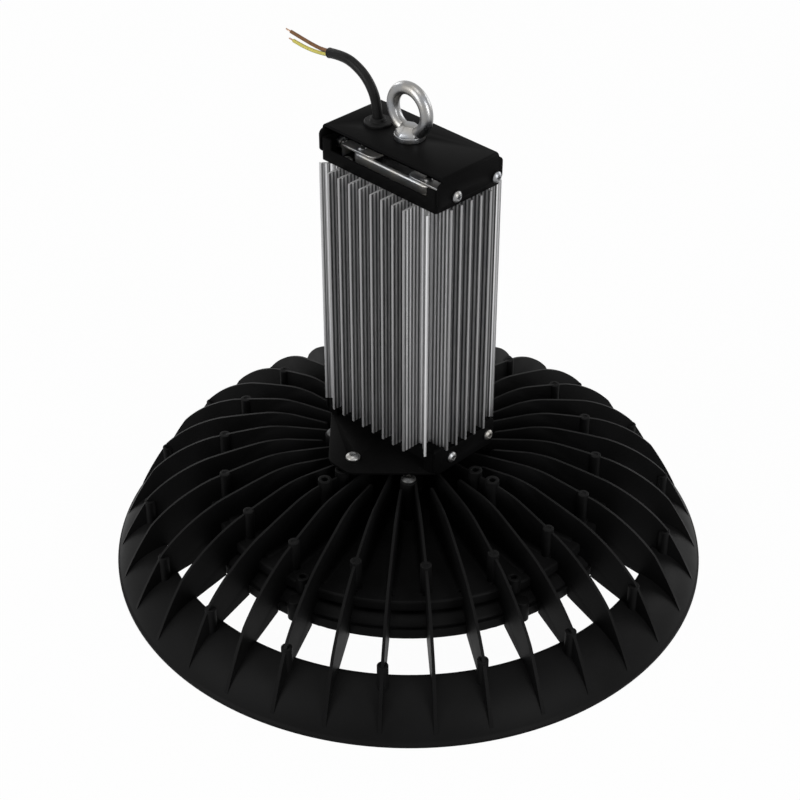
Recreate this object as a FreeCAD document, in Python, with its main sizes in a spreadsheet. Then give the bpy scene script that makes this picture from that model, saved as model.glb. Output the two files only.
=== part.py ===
import FreeCAD, Part
import math
import os
import Sketcher
from FreeCAD import Placement, Rotation, Vector

# High bay light. Frame: millimetres, origin on the lamp's axis in the plane of the skirt's lowest
# rim edge, +Z up through the eye bolt, +X along the long side of the driver housing.

doc = FreeCAD.newDocument("HighBayLight")
sheet = doc.addObject("Spreadsheet::Sheet", "Dims")


class Size:
    """A number that also carries the spreadsheet expression it comes from."""

    def __init__(self, value, text):
        self.v = float(value)
        self.e = text

    def __add__(self, other):
        other = size(other)
        return Size(self.v + other.v, f"({self.e} + {other.e})")

    def __radd__(self, other):
        return size(other) + self

    def __sub__(self, other):
        other = size(other)
        return Size(self.v - other.v, f"({self.e} - {other.e})")

    def __rsub__(self, other):
        return size(other) - self

    def __mul__(self, other):
        other = size(other)
        return Size(self.v * other.v, f"({self.e} * {other.e})")

    def __rmul__(self, other):
        return size(other) * self

    def __truediv__(self, other):
        other = size(other)
        return Size(self.v / other.v, f"({self.e} / {other.e})")

    def __neg__(self):
        return Size(-self.v, f"(0 - {self.e})")


def size(value):
    """A plain number becomes a Size with itself as its expression."""
    if isinstance(value, Size):
        return value
    return Size(value, f"{float(value):.6f}")


class Dims:
    """The driving dimensions, one spreadsheet row each, read back as Size objects."""

    def __init__(self):
        self.row = 0

    def add(self, name, value, note=""):
        self.row += 1
        sheet.set(f"A{self.row}", name)
        sheet.set(f"B{self.row}", f"{value:g}")
        sheet.set(f"C{self.row}", note)
        sheet.setAlias(f"B{self.row}", name)
        setattr(self, name, Size(value, f"Dims.{name}"))


D = Dims()
for dim_name, dim_value, dim_note in (
    # cast heat sink
    ("rim_radius", 200, "skirt rim, the lamp's widest circle"),
    ("skirt_top_radius", 166.5, "skirt's inner top edge"),
    ("skirt_top_level", 30, "height of that edge"),
    ("skirt_wall", 2.6, "skirt wall"),
    ("skirt_bulge", 50, "radius of the skirt's convex section"),
    ("disc_radius", 135, "core disc"),
    ("disc_top", 60, "core disc top face"),
    ("disc_under", 54, "ceiling of the optical recess"),
    ("flange_radius", 142, "flange that carries the cover ring"),
    ("flange_under", 44.7, "flange sealing face"),
    ("recess_radius", 128, "mouth of the optical recess"),
    ("hub_radius", 24, "central hub"),
    ("hub_top", 95, "hub top, the base bracket's seat"),
    ("hub_bore", 12, "hub bore radius"),
    ("seal_bore", 9, "bore radius of the lead seal in the disc"),
    ("fin_count", 36, "all fins"),
    ("fin_thick", 2.0, "fin thickness"),
    ("fin_short_start", 56, "inner end of the short fins"),
    ("fin_inner_level", 88, "fin top edge at its inner end"),
    ("fin_crest_radius", 82, "radius of the fin's highest point"),
    ("fin_crest_level", 90.3, "fin's highest point"),
    ("fin_brow_drop", 12.8, "fall of the crest from its highest point to the disc's edge"),
    ("fin_knee_inset", 24, "where the crest turns steep, inside the rim"),
    ("fin_knee_level", 47, "level of the crest there"),
    ("post_radius", 3.6, "round posts on the fins"),
    ("mid_post_circle", 124.5, "pitch radius of the inner posts"),
    ("mid_post_top", 81.3, "top of the inner posts"),
    ("outer_post_circle", 175, "pitch radius of the outer posts"),
    ("outer_post_top", 44.8, "top of the outer posts"),
    ("standoff_inner", 61, "pitch radius of the inner hollow standoffs"),
    ("standoff_outer", 76, "pitch radius of the outer hollow standoffs"),
    ("standoff_radius", 4.5, "hollow standoff"),
    ("standoff_top", 93, "hollow standoff top"),
    ("standoff_bore", 2.1, "hollow standoff bore radius"),
    ("standoff_depth", 14, "depth of the standoff bores"),
    ("bracket_post_circle", 51, "pitch radius of the base bracket's posts"),
    ("bracket_post_radius", 6, "base bracket post"),
    ("service_post_circle", 50, "pitch radius of the diagonal posts"),
    ("service_post_radius", 5.5, "diagonal post"),
    ("service_post_top", 89.6, "diagonal post top"),
    ("lug_circle", 141.5, "pitch radius of the cover ring screws"),
    ("lug_radius", 4.8, "cover ring lug"),
    ("lug_top", 51.5, "top of the casting's ring lugs"),
    ("vent_boss_circle", 131.5, "pitch radius of the hollow bosses on the disc's edge"),
    ("vent_boss_top", 63, "top of those bosses"),
    # optics
    ("ring_radius", 143.4, "cover ring outside"),
    ("ring_under", 37.2, "cover ring lowest face"),
    ("ring_lip_radius", 124, "cover ring opening"),
    ("ring_lip", 2.0, "cover ring lip under the glass"),
    ("glass_radius", 137.2, "cover glass"),
    ("glass_thick", 4.0, "cover glass"),
    ("seat_gap", 0.3, "clearance round the glass"),
    ("gasket_inner", 128.4, "gasket inner radius"),
    ("board_radius", 118, "LED board"),
    ("board_thick", 1.6, "LED board"),
    ("board_screw_inner", 41, "inner circle of board screws"),
    ("board_screw_outer", 98, "outer circle of board screws"),
    ("led_side", 5.0, "LED package side"),
    ("led_height", 1.2, "LED package height"),
    # driver housing
    ("housing_lift", 17.2, "lower end of the extrusion above the hub"),
    ("housing_length", 174.4, "extrusion length"),
    ("core_half_x", 36.3, "extrusion core, half length"),
    ("core_half_y", 22.6, "extrusion core, half width"),
    ("core_wall", 2.3, "extrusion wall"),
    ("long_fin_depth", 14.85, "depth of the fins on the long faces"),
    ("long_fin_pitch", 9.24, "pitch of those fins"),
    ("short_fin_depth", 15.4, "depth of the fins on the short faces"),
    ("short_fin_pitch", 8.47, "pitch of those fins"),
    ("corner_fin_x", 10.1, "reach of a corner fin along X"),
    ("corner_fin_y", 9.0, "reach of a corner fin along Y"),
    ("rib_root", 1.25, "half thickness of a housing fin at its root"),
    ("rib_tip", 0.8, "half thickness of a housing fin at its tip"),
    ("ripple_pitch", 3.0, "pitch of the ripples on the fin flanks"),
    ("ripple_depth", 0.28, "depth of the ripples"),
    ("port_inset_x", 2.8, "screw port centre inside the core's end"),
    ("port_inset_y", 2.3, "screw port centre inside the core's side"),
    ("port_wall_radius", 3.4, "screw port outside radius"),
    # sheet metal
    ("tray_over_x", 12.7, "end tray beyond the core, lengthwise"),
    ("tray_over_y", 4.6, "end tray beyond the core, sideways"),
    ("tray_sheet", 1.5, "end tray sheet"),
    ("tray_height", 14.9, "end tray height at its ends"),
    ("tray_side_height", 8.2, "end tray height along its long sides"),
    ("tray_ear", 8, "width of the tray's raised corners"),
    ("bracket_sheet", 2.0, "bracket sheet"),
    ("plate_inset_y", 3.3, "bracket plate narrower than the tray, each side"),
    ("bracket_bend", 2.5, "outside bend radius"),
    ("bracket_wall_drop", 18, "height of a bracket wall"),
    ("top_plate_lift", 22.4, "top face of the top bracket above the extrusion"),
    ("base_tip_y", 64, "base bracket tip"),
    ("base_tip_half", 9.5, "half width of that tip"),
    ("base_side_y", 25, "where the slanted edges meet the bracket's walls"),
    ("base_ear_lap", 3.3, "base bracket's corner ears above the extrusion's end"),
    ("base_ear_inner", 19, "inner edge of those ears"),
    ("side_screw_near", -12.5, "side screw, y"),
    ("side_screw_far", 21.5, "side screw, y"),
    ("side_screw_drop", 15, "side screw below the plate's outer face"),
    # driver
    ("case_gap_x", 1.5, "driver case to housing, lengthwise"),
    ("case_gap_y", 2.8, "driver case to housing, sideways"),
    ("case_corner", 5, "driver case corner radius"),
    ("case_wall", 2.2, "driver case wall"),
    ("case_proud", 7.9, "driver case rim above the extrusion"),
    ("case_rim_round", 1.6, "rounding of the driver case rim"),
    ("pad_thick", 2, "pad under the driver"),
    ("potting_drop", 3.5, "potting below the case rim"),
    ("clip_sheet", 1.5, "driver clip sheet"),
    ("clip_inner", 14, "inner end of a clip"),
    ("clip_inset", 7, "clip's outer face inside the tray's outside"),
    ("clip_margin", 0.5, "clip narrower than the driver case, each side"),
    ("clip_slot", 33, "end of the cable slot in a clip"),
    ("clip_slot_half", 4.5, "cable slot, half width"),
    ("clip_screw_inset_x", 4.3, "clip screw inside the case's end"),
    ("clip_screw_inset_y", 4.9, "clip screw inside the case's side"),
    ("case_boss", 3.0, "screw boss in the case, radius"),
    ("case_boss_depth", 30, "screw boss length"),
    # eye bolt
    ("eye_collar_radius", 10, "collar"),
    ("eye_collar_height", 4.2, "collar"),
    ("eye_ring_mean", 14, "mean radius of the ring"),
    ("eye_ring_section", 4, "radius of the ring's section"),
    ("eye_height", 36, "collar face to ring top"),
    ("eye_shank_radius", 4, "M8 shank"),
    ("eye_shank_length", 13, "M8 shank"),
    ("eye_washer_radius", 12, "washer under the plate"),
    ("eye_washer_thick", 2, "washer under the plate"),
    # cables
    ("cable_x", -27.1, "mains cable axis through the top plate"),
    ("cable_radius", 3.15, "mains cable"),
    ("core_radius", 1.15, "insulated core"),
    ("strand_radius", 0.65, "bare end of a core"),
    ("grommet_radius", 8.7, "grommet flange"),
    ("grommet_hole", 6.2, "grommet hole in the plate"),
    ("lead_radius", 3, "LED lead"),
    # threads and clearances
    ("thread_m_eight", 4, "thread radius"),
    ("thread_m_five", 2.5, "thread radius"),
    ("thread_m_four", 2, "thread radius"),
    ("thread_m_three", 1.5, "thread radius"),
    ("thread_gap", 0.08, "clearance round a shank in its thread"),
    ("hole_clear", 0.25, "clearance on a through hole's radius"),
):
    D.add(dim_name, dim_value, dim_note)
doc.recompute()

# levels and radii that follow from the sheet
SKIRT_INNER_BULGE = D.skirt_bulge - D.skirt_wall
HOUSING_BOTTOM = D.hub_top + D.housing_lift
HOUSING_TOP = HOUSING_BOTTOM + D.housing_length
PORT_X = D.core_half_x - D.port_inset_x
PORT_Y = D.core_half_y - D.port_inset_y
TRAY_HALF_X = D.core_half_x + D.tray_over_x
TRAY_HALF_Y = D.core_half_y + D.tray_over_y
BRACKET_HALF_X = TRAY_HALF_X + D.bracket_sheet
BRACKET_HALF_Y = TRAY_HALF_Y - D.plate_inset_y
CASE_HALF_X = D.core_half_x - D.core_wall - D.case_gap_x
CASE_HALF_Y = D.core_half_y - D.core_wall - D.case_gap_y
CASE_BOTTOM = HOUSING_BOTTOM + D.pad_thick
CASE_TOP = HOUSING_TOP + D.case_proud
POTTING_TOP = CASE_TOP - D.potting_drop
CLIP_OUTER = TRAY_HALF_X - D.clip_inset
CLIP_HALF_Y = CASE_HALF_Y - D.clip_margin
CLIP_SCREW_X = CASE_HALF_X - D.clip_screw_inset_x
CLIP_SCREW_Y = CASE_HALF_Y - D.clip_screw_inset_y
TOP_PLATE_TOP = HOUSING_TOP + D.top_plate_lift
TOP_PLATE_UNDER = TOP_PLATE_TOP - D.bracket_sheet
BASE_PLATE_UNDER = D.hub_top
BASE_EAR_TOP = HOUSING_BOTTOM + D.base_ear_lap
BASE_PLATE_TOP = D.hub_top + D.bracket_sheet
GLASS_UNDER = D.ring_under + D.ring_lip
GLASS_TOP = GLASS_UNDER + D.glass_thick
BOARD_UNDER = D.disc_under - D.board_thick
GROMMET_TOP = TOP_PLATE_TOP + 2
COLLAR_TOP = GROMMET_TOP + 2
WASHER_UNDER = TOP_PLATE_UNDER - D.eye_washer_thick
CORD_START = TOP_PLATE_UNDER - 2.4


def set_value(obj, prop, value):
    """Set a property, as an expression when the value comes from the sheet."""
    if isinstance(value, Size):
        obj.setExpression(prop, value.e)
    else:
        setattr(obj, prop, value)


def origin_of(body, role):
    """A body's own origin plane or axis."""
    return next(o for o in body.Origin.OriginFeatures if o.Role == role)


def new_body(name):
    body = doc.addObject("PartDesign::Body", name)
    body.Label = name
    return body


def new_sketch(body, name, plane, lift=0, turn=0):
    """A sketch on one of the body's origin planes, lifted along its normal."""
    sketch = body.newObject("Sketcher::SketchObject", name)
    sketch.AttachmentSupport = (origin_of(body, plane), [""])
    sketch.MapMode = "FlatFace"
    if turn:
        axis = Vector(0, 0, 1) if plane == "XY_Plane" else Vector(0, 1, 0)
        sketch.AttachmentOffset = Placement(Vector(), Rotation(axis, turn))
    if isinstance(lift, Size):
        sketch.setExpression("AttachmentOffset.Base.z", lift.e)
    return sketch


def fix_point(sketch, geo, pos, x, y):
    """Hold one end of a line or arc at two sheet-driven coordinates."""
    for kind, coord in (("DistanceX", size(x)), ("DistanceY", size(y))):
        index = sketch.addConstraint(Sketcher.Constraint(kind, -1, 1, geo, pos, coord.v))
        if "Dims" in coord.e:
            sketch.setExpression(f"Constraints[{index}]", coord.e)


def draw_loop(sketch, corners):
    """Closed outline. A corner (x, y, radius) starts an arc to the next corner, centre on the left
    of the way there for a positive radius and on the right for a negative one."""
    ends = []
    count = len(corners)
    base = sketch.GeometryCount
    for i, corner in enumerate(corners):
        a = Vector(size(corner[0]).v, size(corner[1]).v, 0)
        following = corners[(i + 1) % count]
        b = Vector(size(following[0]).v, size(following[1]).v, 0)
        if len(corner) == 2:
            sketch.addGeometry(Part.LineSegment(a, b), False)
            ends.append((1, 2))
            continue
        radius = size(corner[2])
        along = b - a
        left = Vector(-along.y, along.x, 0).normalize()
        reach = math.sqrt(max(radius.v ** 2 - along.Length ** 2 / 4, 0.0))
        centre = (a + b) * 0.5 + left * math.copysign(reach, radius.v)
        angles = [math.atan2(p.y - centre.y, p.x - centre.x) for p in (a, b)]
        if radius.v < 0:
            angles.reverse()
        circle = Part.Circle(centre, Vector(0, 0, 1), abs(radius.v))
        sketch.addGeometry(Part.ArcOfCircle(circle, angles[0], angles[1]), False)
        ends.append((1, 2) if radius.v > 0 else (2, 1))
    for i in range(count):
        j = (i + 1) % count
        sketch.addConstraint(Sketcher.Constraint("Coincident", base + i, ends[i][1], base + j, ends[j][0]))
    for i, corner in enumerate(corners):
        fix_point(sketch, base + i, ends[i][0], corner[0], corner[1])
        if len(corner) == 3:
            radius = size(corner[2])
            value = radius if radius.v > 0 else -radius
            index = sketch.addConstraint(Sketcher.Constraint("Radius", base + i, value.v))
            if "Dims" in value.e:
                sketch.setExpression(f"Constraints[{index}]", value.e)
    return sketch


def draw_circles(sketch, places, radius):
    """Circles at sheet-driven centres."""
    for x, y in places:
        geo = sketch.GeometryCount
        centre = Vector(size(x).v, size(y).v, 0)
        sketch.addGeometry(Part.Circle(centre, Vector(0, 0, 1), size(radius).v), False)
        fix_point(sketch, geo, 3, x, y)
        index = sketch.addConstraint(Sketcher.Constraint("Radius", geo, size(radius).v))
        if "Dims" in size(radius).e:
            sketch.setExpression(f"Constraints[{index}]", size(radius).e)
    return sketch


def rounded(half_x, half_y, radius, cx=0):
    """Corners of a rounded rectangle for draw_loop, counter-clockwise."""
    hx, hy, r = size(half_x), size(half_y), size(radius)
    return [
        (cx - hx + r, -hy), (cx + hx - r, -hy, r), (cx + hx, -hy + r), (cx + hx, hy - r, r),
        (cx + hx - r, hy), (cx - hx + r, hy, r), (cx - hx, hy - r), (cx - hx, -hy + r, r),
    ]


def finish_feature(body, feature):
    body.Tip = feature
    doc.recompute()
    if not feature.isValid():
        raise RuntimeError(f"{feature.Name}: {feature.State} {feature.getStatusString()}")
    return feature


def pad(body, sketch, length, both_ways=False, downwards=False):
    feature = body.newObject("PartDesign::Pad", sketch.Name + "_pad")
    feature.Profile = sketch
    feature.Refine = False
    if both_ways:
        feature.SideType = "Symmetric"
    feature.Reversed = downwards
    set_value(feature, "Length", length)
    return finish_feature(body, feature)


def pocket(body, sketch, depth=None, reverse=False):
    """A pocket against the sketch's normal, or through everything both ways."""
    feature = body.newObject("PartDesign::Pocket", sketch.Name + "_cut")
    feature.Profile = sketch
    feature.Refine = False
    if depth is None:
        feature.Type = "ThroughAll"
        feature.Midplane = True
    else:
        set_value(feature, "Length", depth)
        feature.Reversed = reverse
    before = body.Shape.Volume
    finish_feature(body, feature)
    if body.Shape.Volume > before - 1e-3:
        raise RuntimeError(f"{feature.Name} removed nothing")
    return feature


def revolve(body, sketch):
    feature = body.newObject("PartDesign::Revolution", sketch.Name + "_turn")
    feature.Profile = sketch
    feature.ReferenceAxis = (sketch, ["V_Axis"])
    feature.Angle = 360
    feature.Refine = False
    return finish_feature(body, feature)


def groove(body, sketch):
    feature = body.newObject("PartDesign::Groove", sketch.Name + "_groove")
    feature.Profile = sketch
    feature.ReferenceAxis = (sketch, ["V_Axis"])
    feature.Angle = 360
    feature.Refine = False
    return finish_feature(body, feature)


def polar(body, originals, name, count):
    feature = body.newObject("PartDesign::PolarPattern", name)
    feature.Originals = originals
    feature.Axis = (origin_of(body, "Z_Axis"), [""])
    feature.Angle = 360
    feature.Refine = False
    if isinstance(count, Size):
        feature.setExpression("Occurrences", count.e)
    else:
        feature.Occurrences = count
    return finish_feature(body, feature)


def round_edges(body, radius, test, name):
    """Fillet every edge of the body that passes the test."""
    base = body.Tip
    names = [f"Edge{i + 1}" for i, edge in enumerate(base.Shape.Edges) if test(edge)]
    feature = body.newObject("PartDesign::Fillet", name)
    feature.Base = (base, names)
    set_value(feature, "Radius", radius)
    return finish_feature(body, feature)


def turned(name, corners):
    """A body turned about Z from one closed (radius, height) outline."""
    body = new_body(name)
    sketch = draw_loop(new_sketch(body, name + "_section", "XZ_Plane"), corners)
    revolve(body, sketch)
    return body


def level_edge(edge, z, tolerance=1e-3):
    """True for an edge that lies wholly at one height."""
    box = edge.BoundBox
    return abs(box.ZMin - z) < tolerance and abs(box.ZMax - z) < tolerance


# ---------------------------------------------------------------- cast heat sink
UP, SIDE_Y, FLIP = Vector(0, 0, 1), Vector(0, 1, 0), Vector(1, 0, 0)


def copies(name, master, places):
    """One node of identical solids: links to a master, each with its own sheet-driven place.

    A place is (x, y, z, axis, angle): the master, where it stands, is turned about that axis, then
    moved. LinkTransform keeps the master's own placement, which a hole tool needs to hang below
    its mouth.
    """
    links = []
    for index, (x, y, z, axis, angle) in enumerate(places):
        link = doc.addObject("App::Link", f"{name}_copy{index + 1}")
        link.LinkedObject = master
        link.LinkTransform = True
        link.Placement = Placement(Vector(size(x).v, size(y).v, size(z).v), Rotation(axis, angle))
        for letter, value in (("x", size(x)), ("y", size(y)), ("z", size(z))):
            if "Dims" in value.e:
                link.setExpression(f"Placement.Base.{letter}", value.e)
        links.append(link)
    group = doc.addObject("Part::Compound", name)
    group.Label = name
    group.Links = links
    return group


def on_circle(radius, angle):
    """Sheet-driven x and y of a point on a circle, angle in degrees."""
    radius = size(radius)
    x = Size(radius.v * math.cos(math.radians(angle)), f"({radius.e} * cos({angle}))")
    y = Size(radius.v * math.sin(math.radians(angle)), f"({radius.e} * sin({angle}))")
    return x, y


sink_core = turned("sink_core", [
    (D.seal_bore, D.disc_under), (D.recess_radius - 2, D.disc_under),
    (D.recess_radius, D.flange_under), (D.flange_radius, D.flange_under),
    (D.flange_radius, D.flange_under + 1.8), (D.flange_radius - 6, D.flange_under + 5.8),
    (D.disc_radius - 3.5, D.flange_under + 5.8), (D.disc_radius - 3.5, D.disc_top - 7),
    (D.disc_radius, D.disc_top - 7), (D.disc_radius, D.disc_top - 1.5, 1.5),
    (D.disc_radius - 1.5, D.disc_top), (D.hub_radius, D.disc_top), (D.hub_radius, D.hub_top),
    (D.hub_bore, D.hub_top), (D.hub_bore, D.disc_top), (D.seal_bore, D.disc_top),
])


def posts(name, places, radius, start, top, count, turn=0):
    """Round posts on the disc, repeated about the axis."""
    sketch = new_sketch(sink_core, name, "XY_Plane", lift=start, turn=turn)
    draw_circles(sketch, places, radius)
    polar(sink_core, [pad(sink_core, sketch, top - start)], name + "_all", count)


SERVICE_TURN = 45
LUG_TURN = -15
posts("standoffs", [(D.standoff_inner, 0), (D.standoff_outer, 0)], D.standoff_radius,
      D.disc_top - 1, D.standoff_top, 4)
posts("bracket_posts", [(0, -D.bracket_post_circle)], D.bracket_post_radius,
      D.disc_top - 1, D.hub_top, 2)
posts("service_posts", [(D.service_post_circle, 0)], D.service_post_radius,
      D.disc_top - 1, D.service_post_top, 4, turn=SERVICE_TURN)
posts("ring_lugs", [(D.lug_circle, 0)], D.lug_radius, D.flange_under, D.lug_top, 6, turn=LUG_TURN)
posts("vent_bosses", [(D.vent_boss_circle, 0)], D.standoff_radius, D.disc_top - 7,
      D.vent_boss_top, 6, turn=LUG_TURN)

SKIRT_INNER_TOP = (D.skirt_top_radius, D.skirt_top_level - D.skirt_wall)
SKIRT_INNER_FOOT = D.rim_radius - D.skirt_wall - 0.4
turned("sink_skirt", [
    (D.rim_radius, 0), (D.rim_radius, 1.2, D.skirt_bulge - 2), (D.skirt_top_radius, D.skirt_top_level),
    (*SKIRT_INNER_TOP, -SKIRT_INNER_BULGE), (SKIRT_INNER_FOOT, 0),
])


def make_fin(name, start, post_circle, post_start, post_top):
    """One radial fin in the plane y = 0 with the round post that stands in it."""
    body = new_body(name)
    outline = new_sketch(body, name + "_outline", "XZ_Plane")
    draw_loop(outline, [
        (start, D.disc_top - 3), (start, D.fin_inner_level),
        (D.fin_crest_radius, D.fin_crest_level, -74.0),
        (D.fin_crest_radius + 18, D.fin_crest_level - 2.1, -617.0),
        (D.disc_radius - 1, D.fin_crest_level - D.fin_brow_drop, -112.0),
        (D.rim_radius - D.fin_knee_inset, D.fin_knee_level, -300.0),
        (D.rim_radius - 2, 5.2), (D.rim_radius - 1.4, 1.6, SKIRT_INNER_BULGE + D.skirt_wall / 2),
        (D.skirt_top_radius + 1.5, D.skirt_top_level - 1.3), (D.ring_radius + 0.6, D.ring_under + 0.3),
        (D.ring_radius + 0.6, D.flange_under + 0.6), (D.flange_radius - 1, D.flange_under + 1.3),
        (D.disc_radius - 5, D.disc_top - 8), (D.disc_radius - 6, D.disc_top - 4),
    ])
    pad(body, outline, D.fin_thick, both_ways=True)
    post = new_sketch(body, name + "_post", "XY_Plane", lift=post_start)
    draw_circles(post, [(post_circle, 0)], D.post_radius)
    pad(body, post, post_top - post_start)
    return body


long_fin = make_fin("long_fin", D.hub_radius - 2, D.mid_post_circle, D.disc_top - 1, D.mid_post_top)
short_fin = make_fin("short_fin", D.fin_short_start, D.outer_post_circle,
                     D.skirt_top_level - 10, D.outer_post_top)
FIN_PAIRS = int(D.fin_count.v) // 2
FIN_STEP = 360.0 / D.fin_count.v
copies("long_fins", long_fin, [(0, 0, 0, UP, 2 * k * FIN_STEP) for k in range(FIN_PAIRS)])
copies("short_fins", short_fin, [(0, 0, 0, UP, (2 * k + 1) * FIN_STEP) for k in range(FIN_PAIRS)])
sink_blank = doc.addObject("Part::MultiFuse", "sink_blank")
sink_blank.Shapes = [doc.getObject(n) for n in ("sink_core", "sink_skirt", "long_fins", "short_fins")]


def hole_tool(name, radius, depth):
    """A cylinder whose mouth is at z = 0 and whose floor lies below it."""
    tool = doc.addObject("Part::Cylinder", name)
    set_value(tool, "Radius", radius)
    set_value(tool, "Height", depth)
    tool.setExpression("Placement.Base.z", (-size(depth)).e)
    return tool


standoff_tool = hole_tool("standoff_bore", D.standoff_bore, D.standoff_depth)
vent_tool = hole_tool("vent_boss_bore", D.standoff_bore, D.standoff_depth / 2)
m5_tool = hole_tool("m5_thread", D.thread_m_five + D.thread_gap, D.standoff_depth)
m4_tool = hole_tool("m4_thread", D.thread_m_four + D.thread_gap, D.lug_top - D.flange_under - 1.3)
m3_tool = hole_tool("m3_thread", D.thread_m_three + D.thread_gap, D.disc_top - D.disc_under - 1.6)
doc.recompute()
SERVICE_PLACES = [on_circle(D.service_post_circle, SERVICE_TURN + 90 * k) for k in range(4)]
LUG_PLACES = [on_circle(D.lug_circle, LUG_TURN + 60 * k) for k in range(6)]
BOARD_PLACES = [
    on_circle(r, 30 + 60 * k)
    for r in (D.board_screw_inner, D.board_screw_outer) for k in range(6)]
BRACKET_PLACES = [(0, -D.bracket_post_circle), (0, D.bracket_post_circle)]
skirt_hollow = turned("skirt_hollow", [
    (*SKIRT_INNER_TOP, -SKIRT_INNER_BULGE), (SKIRT_INNER_FOOT, 0), (SKIRT_INNER_FOOT, -5),
    (D.skirt_top_radius - 8, -5), (D.skirt_top_radius - 8, D.skirt_top_level - D.skirt_wall),
])
sink_tools = doc.addObject("Part::Compound", "sink_tools")
sink_tools.Links = [
    skirt_hollow,
    copies("standoff_bores", standoff_tool, [
        (*on_circle(r, 90 * k), D.standoff_top, UP, 0)
        for r in (D.standoff_inner, D.standoff_outer) for k in range(4)]),
    copies("vent_boss_bores", vent_tool, [
        (*on_circle(D.vent_boss_circle, LUG_TURN + 60 * k), D.vent_boss_top, UP, 0) for k in range(6)]),
    copies("bracket_threads", m5_tool, [(x, y, D.hub_top, UP, 0) for x, y in BRACKET_PLACES]),
    copies("service_threads", m5_tool, [(x, y, D.service_post_top, UP, 0) for x, y in SERVICE_PLACES]),
    copies("lug_threads", m4_tool, [(x, y, D.flange_under, FLIP, 180) for x, y in LUG_PLACES]),
    copies("board_threads", m3_tool, [(x, y, D.disc_under, FLIP, 180) for x, y in BOARD_PLACES]),
]
heat_sink = doc.addObject("Part::Cut", "heat_sink")
heat_sink.Label = "heat_sink"
heat_sink.Base = sink_blank
heat_sink.Tool = sink_tools
doc.recompute()

# ---------------------------------------------------------------- optics
cover_ring = turned("cover_ring", [
    (D.ring_lip_radius, D.ring_under), (D.ring_radius - 1, D.ring_under, 1.0),
    (D.ring_radius, D.ring_under + 1), (D.ring_radius, D.flange_under),
    (D.glass_radius + D.seat_gap, D.flange_under), (D.glass_radius + D.seat_gap, GLASS_UNDER),
    (D.ring_lip_radius + 1.2, GLASS_UNDER), (D.ring_lip_radius, GLASS_UNDER - 1.2),
])
ring_lug = new_sketch(cover_ring, "cover_ring_lugs", "XY_Plane", lift=D.ring_under, turn=LUG_TURN)
draw_circles(ring_lug, [(D.lug_circle, 0)], D.lug_radius)
lug_pad = pad(cover_ring, ring_lug, D.flange_under - D.ring_under)
polar(cover_ring, [lug_pad], "cover_ring_lugs_all", 6)
lug_trim = new_sketch(cover_ring, "cover_ring_seat", "XY_Plane", lift=D.flange_under)
draw_circles(lug_trim, [(0, 0)], D.glass_radius + D.seat_gap)
pocket(cover_ring, lug_trim, D.flange_under - GLASS_UNDER)
lug_hole = new_sketch(cover_ring, "cover_ring_holes", "XY_Plane", lift=D.flange_under, turn=LUG_TURN)
draw_circles(lug_hole, [(D.lug_circle, 0)], D.thread_m_four + D.hole_clear)
polar(cover_ring, [pocket(cover_ring, lug_hole, 10)], "cover_ring_holes_all", 6)

turned("cover_glass", [
    (0, GLASS_UNDER), (D.glass_radius - 0.5, GLASS_UNDER), (D.glass_radius, GLASS_UNDER + 0.5),
    (D.glass_radius, GLASS_TOP - 0.5), (D.glass_radius - 0.5, GLASS_TOP), (0, GLASS_TOP),
])
turned("cover_gasket", [
    (D.gasket_inner, GLASS_TOP), (D.glass_radius, GLASS_TOP), (D.glass_radius, D.flange_under),
    (D.gasket_inner, D.flange_under),
])
led_board = turned("led_board", [
    (0, BOARD_UNDER), (D.board_radius, BOARD_UNDER), (D.board_radius, D.disc_under), (0, D.disc_under),
])
board_hole = new_sketch(led_board, "board_holes", "XY_Plane", lift=D.disc_under, turn=30)
draw_circles(board_hole, [(D.board_screw_inner, 0), (D.board_screw_outer, 0)],
             D.thread_m_three + D.hole_clear)
polar(led_board, [pocket(led_board, board_hole, D.board_thick + 1)], "board_holes_all", 6)


led_master = doc.addObject("Part::Box", "led_package")
for prop_name in ("Length", "Width"):
    set_value(led_master, prop_name, D.led_side)
set_value(led_master, "Height", D.led_height)
led_master.setExpression("Placement.Base.x", "0 - Dims.led_side / 2")
led_master.setExpression("Placement.Base.y", "0 - Dims.led_side / 2")
doc.recompute()
led_places = []
for circle_radius, led_count in ((29, 8), (54, 16), (77, 24), (108, 32)):
    for k in range(led_count):
        led_angle = 360.0 * k / led_count + (180.0 / led_count if circle_radius > 29 else 0)
        led_x, led_y = on_circle(circle_radius, led_angle)
        led_places.append((led_x, led_y, BOARD_UNDER - D.led_height, UP, 0))
copies("led_chips", led_master, led_places)


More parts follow.
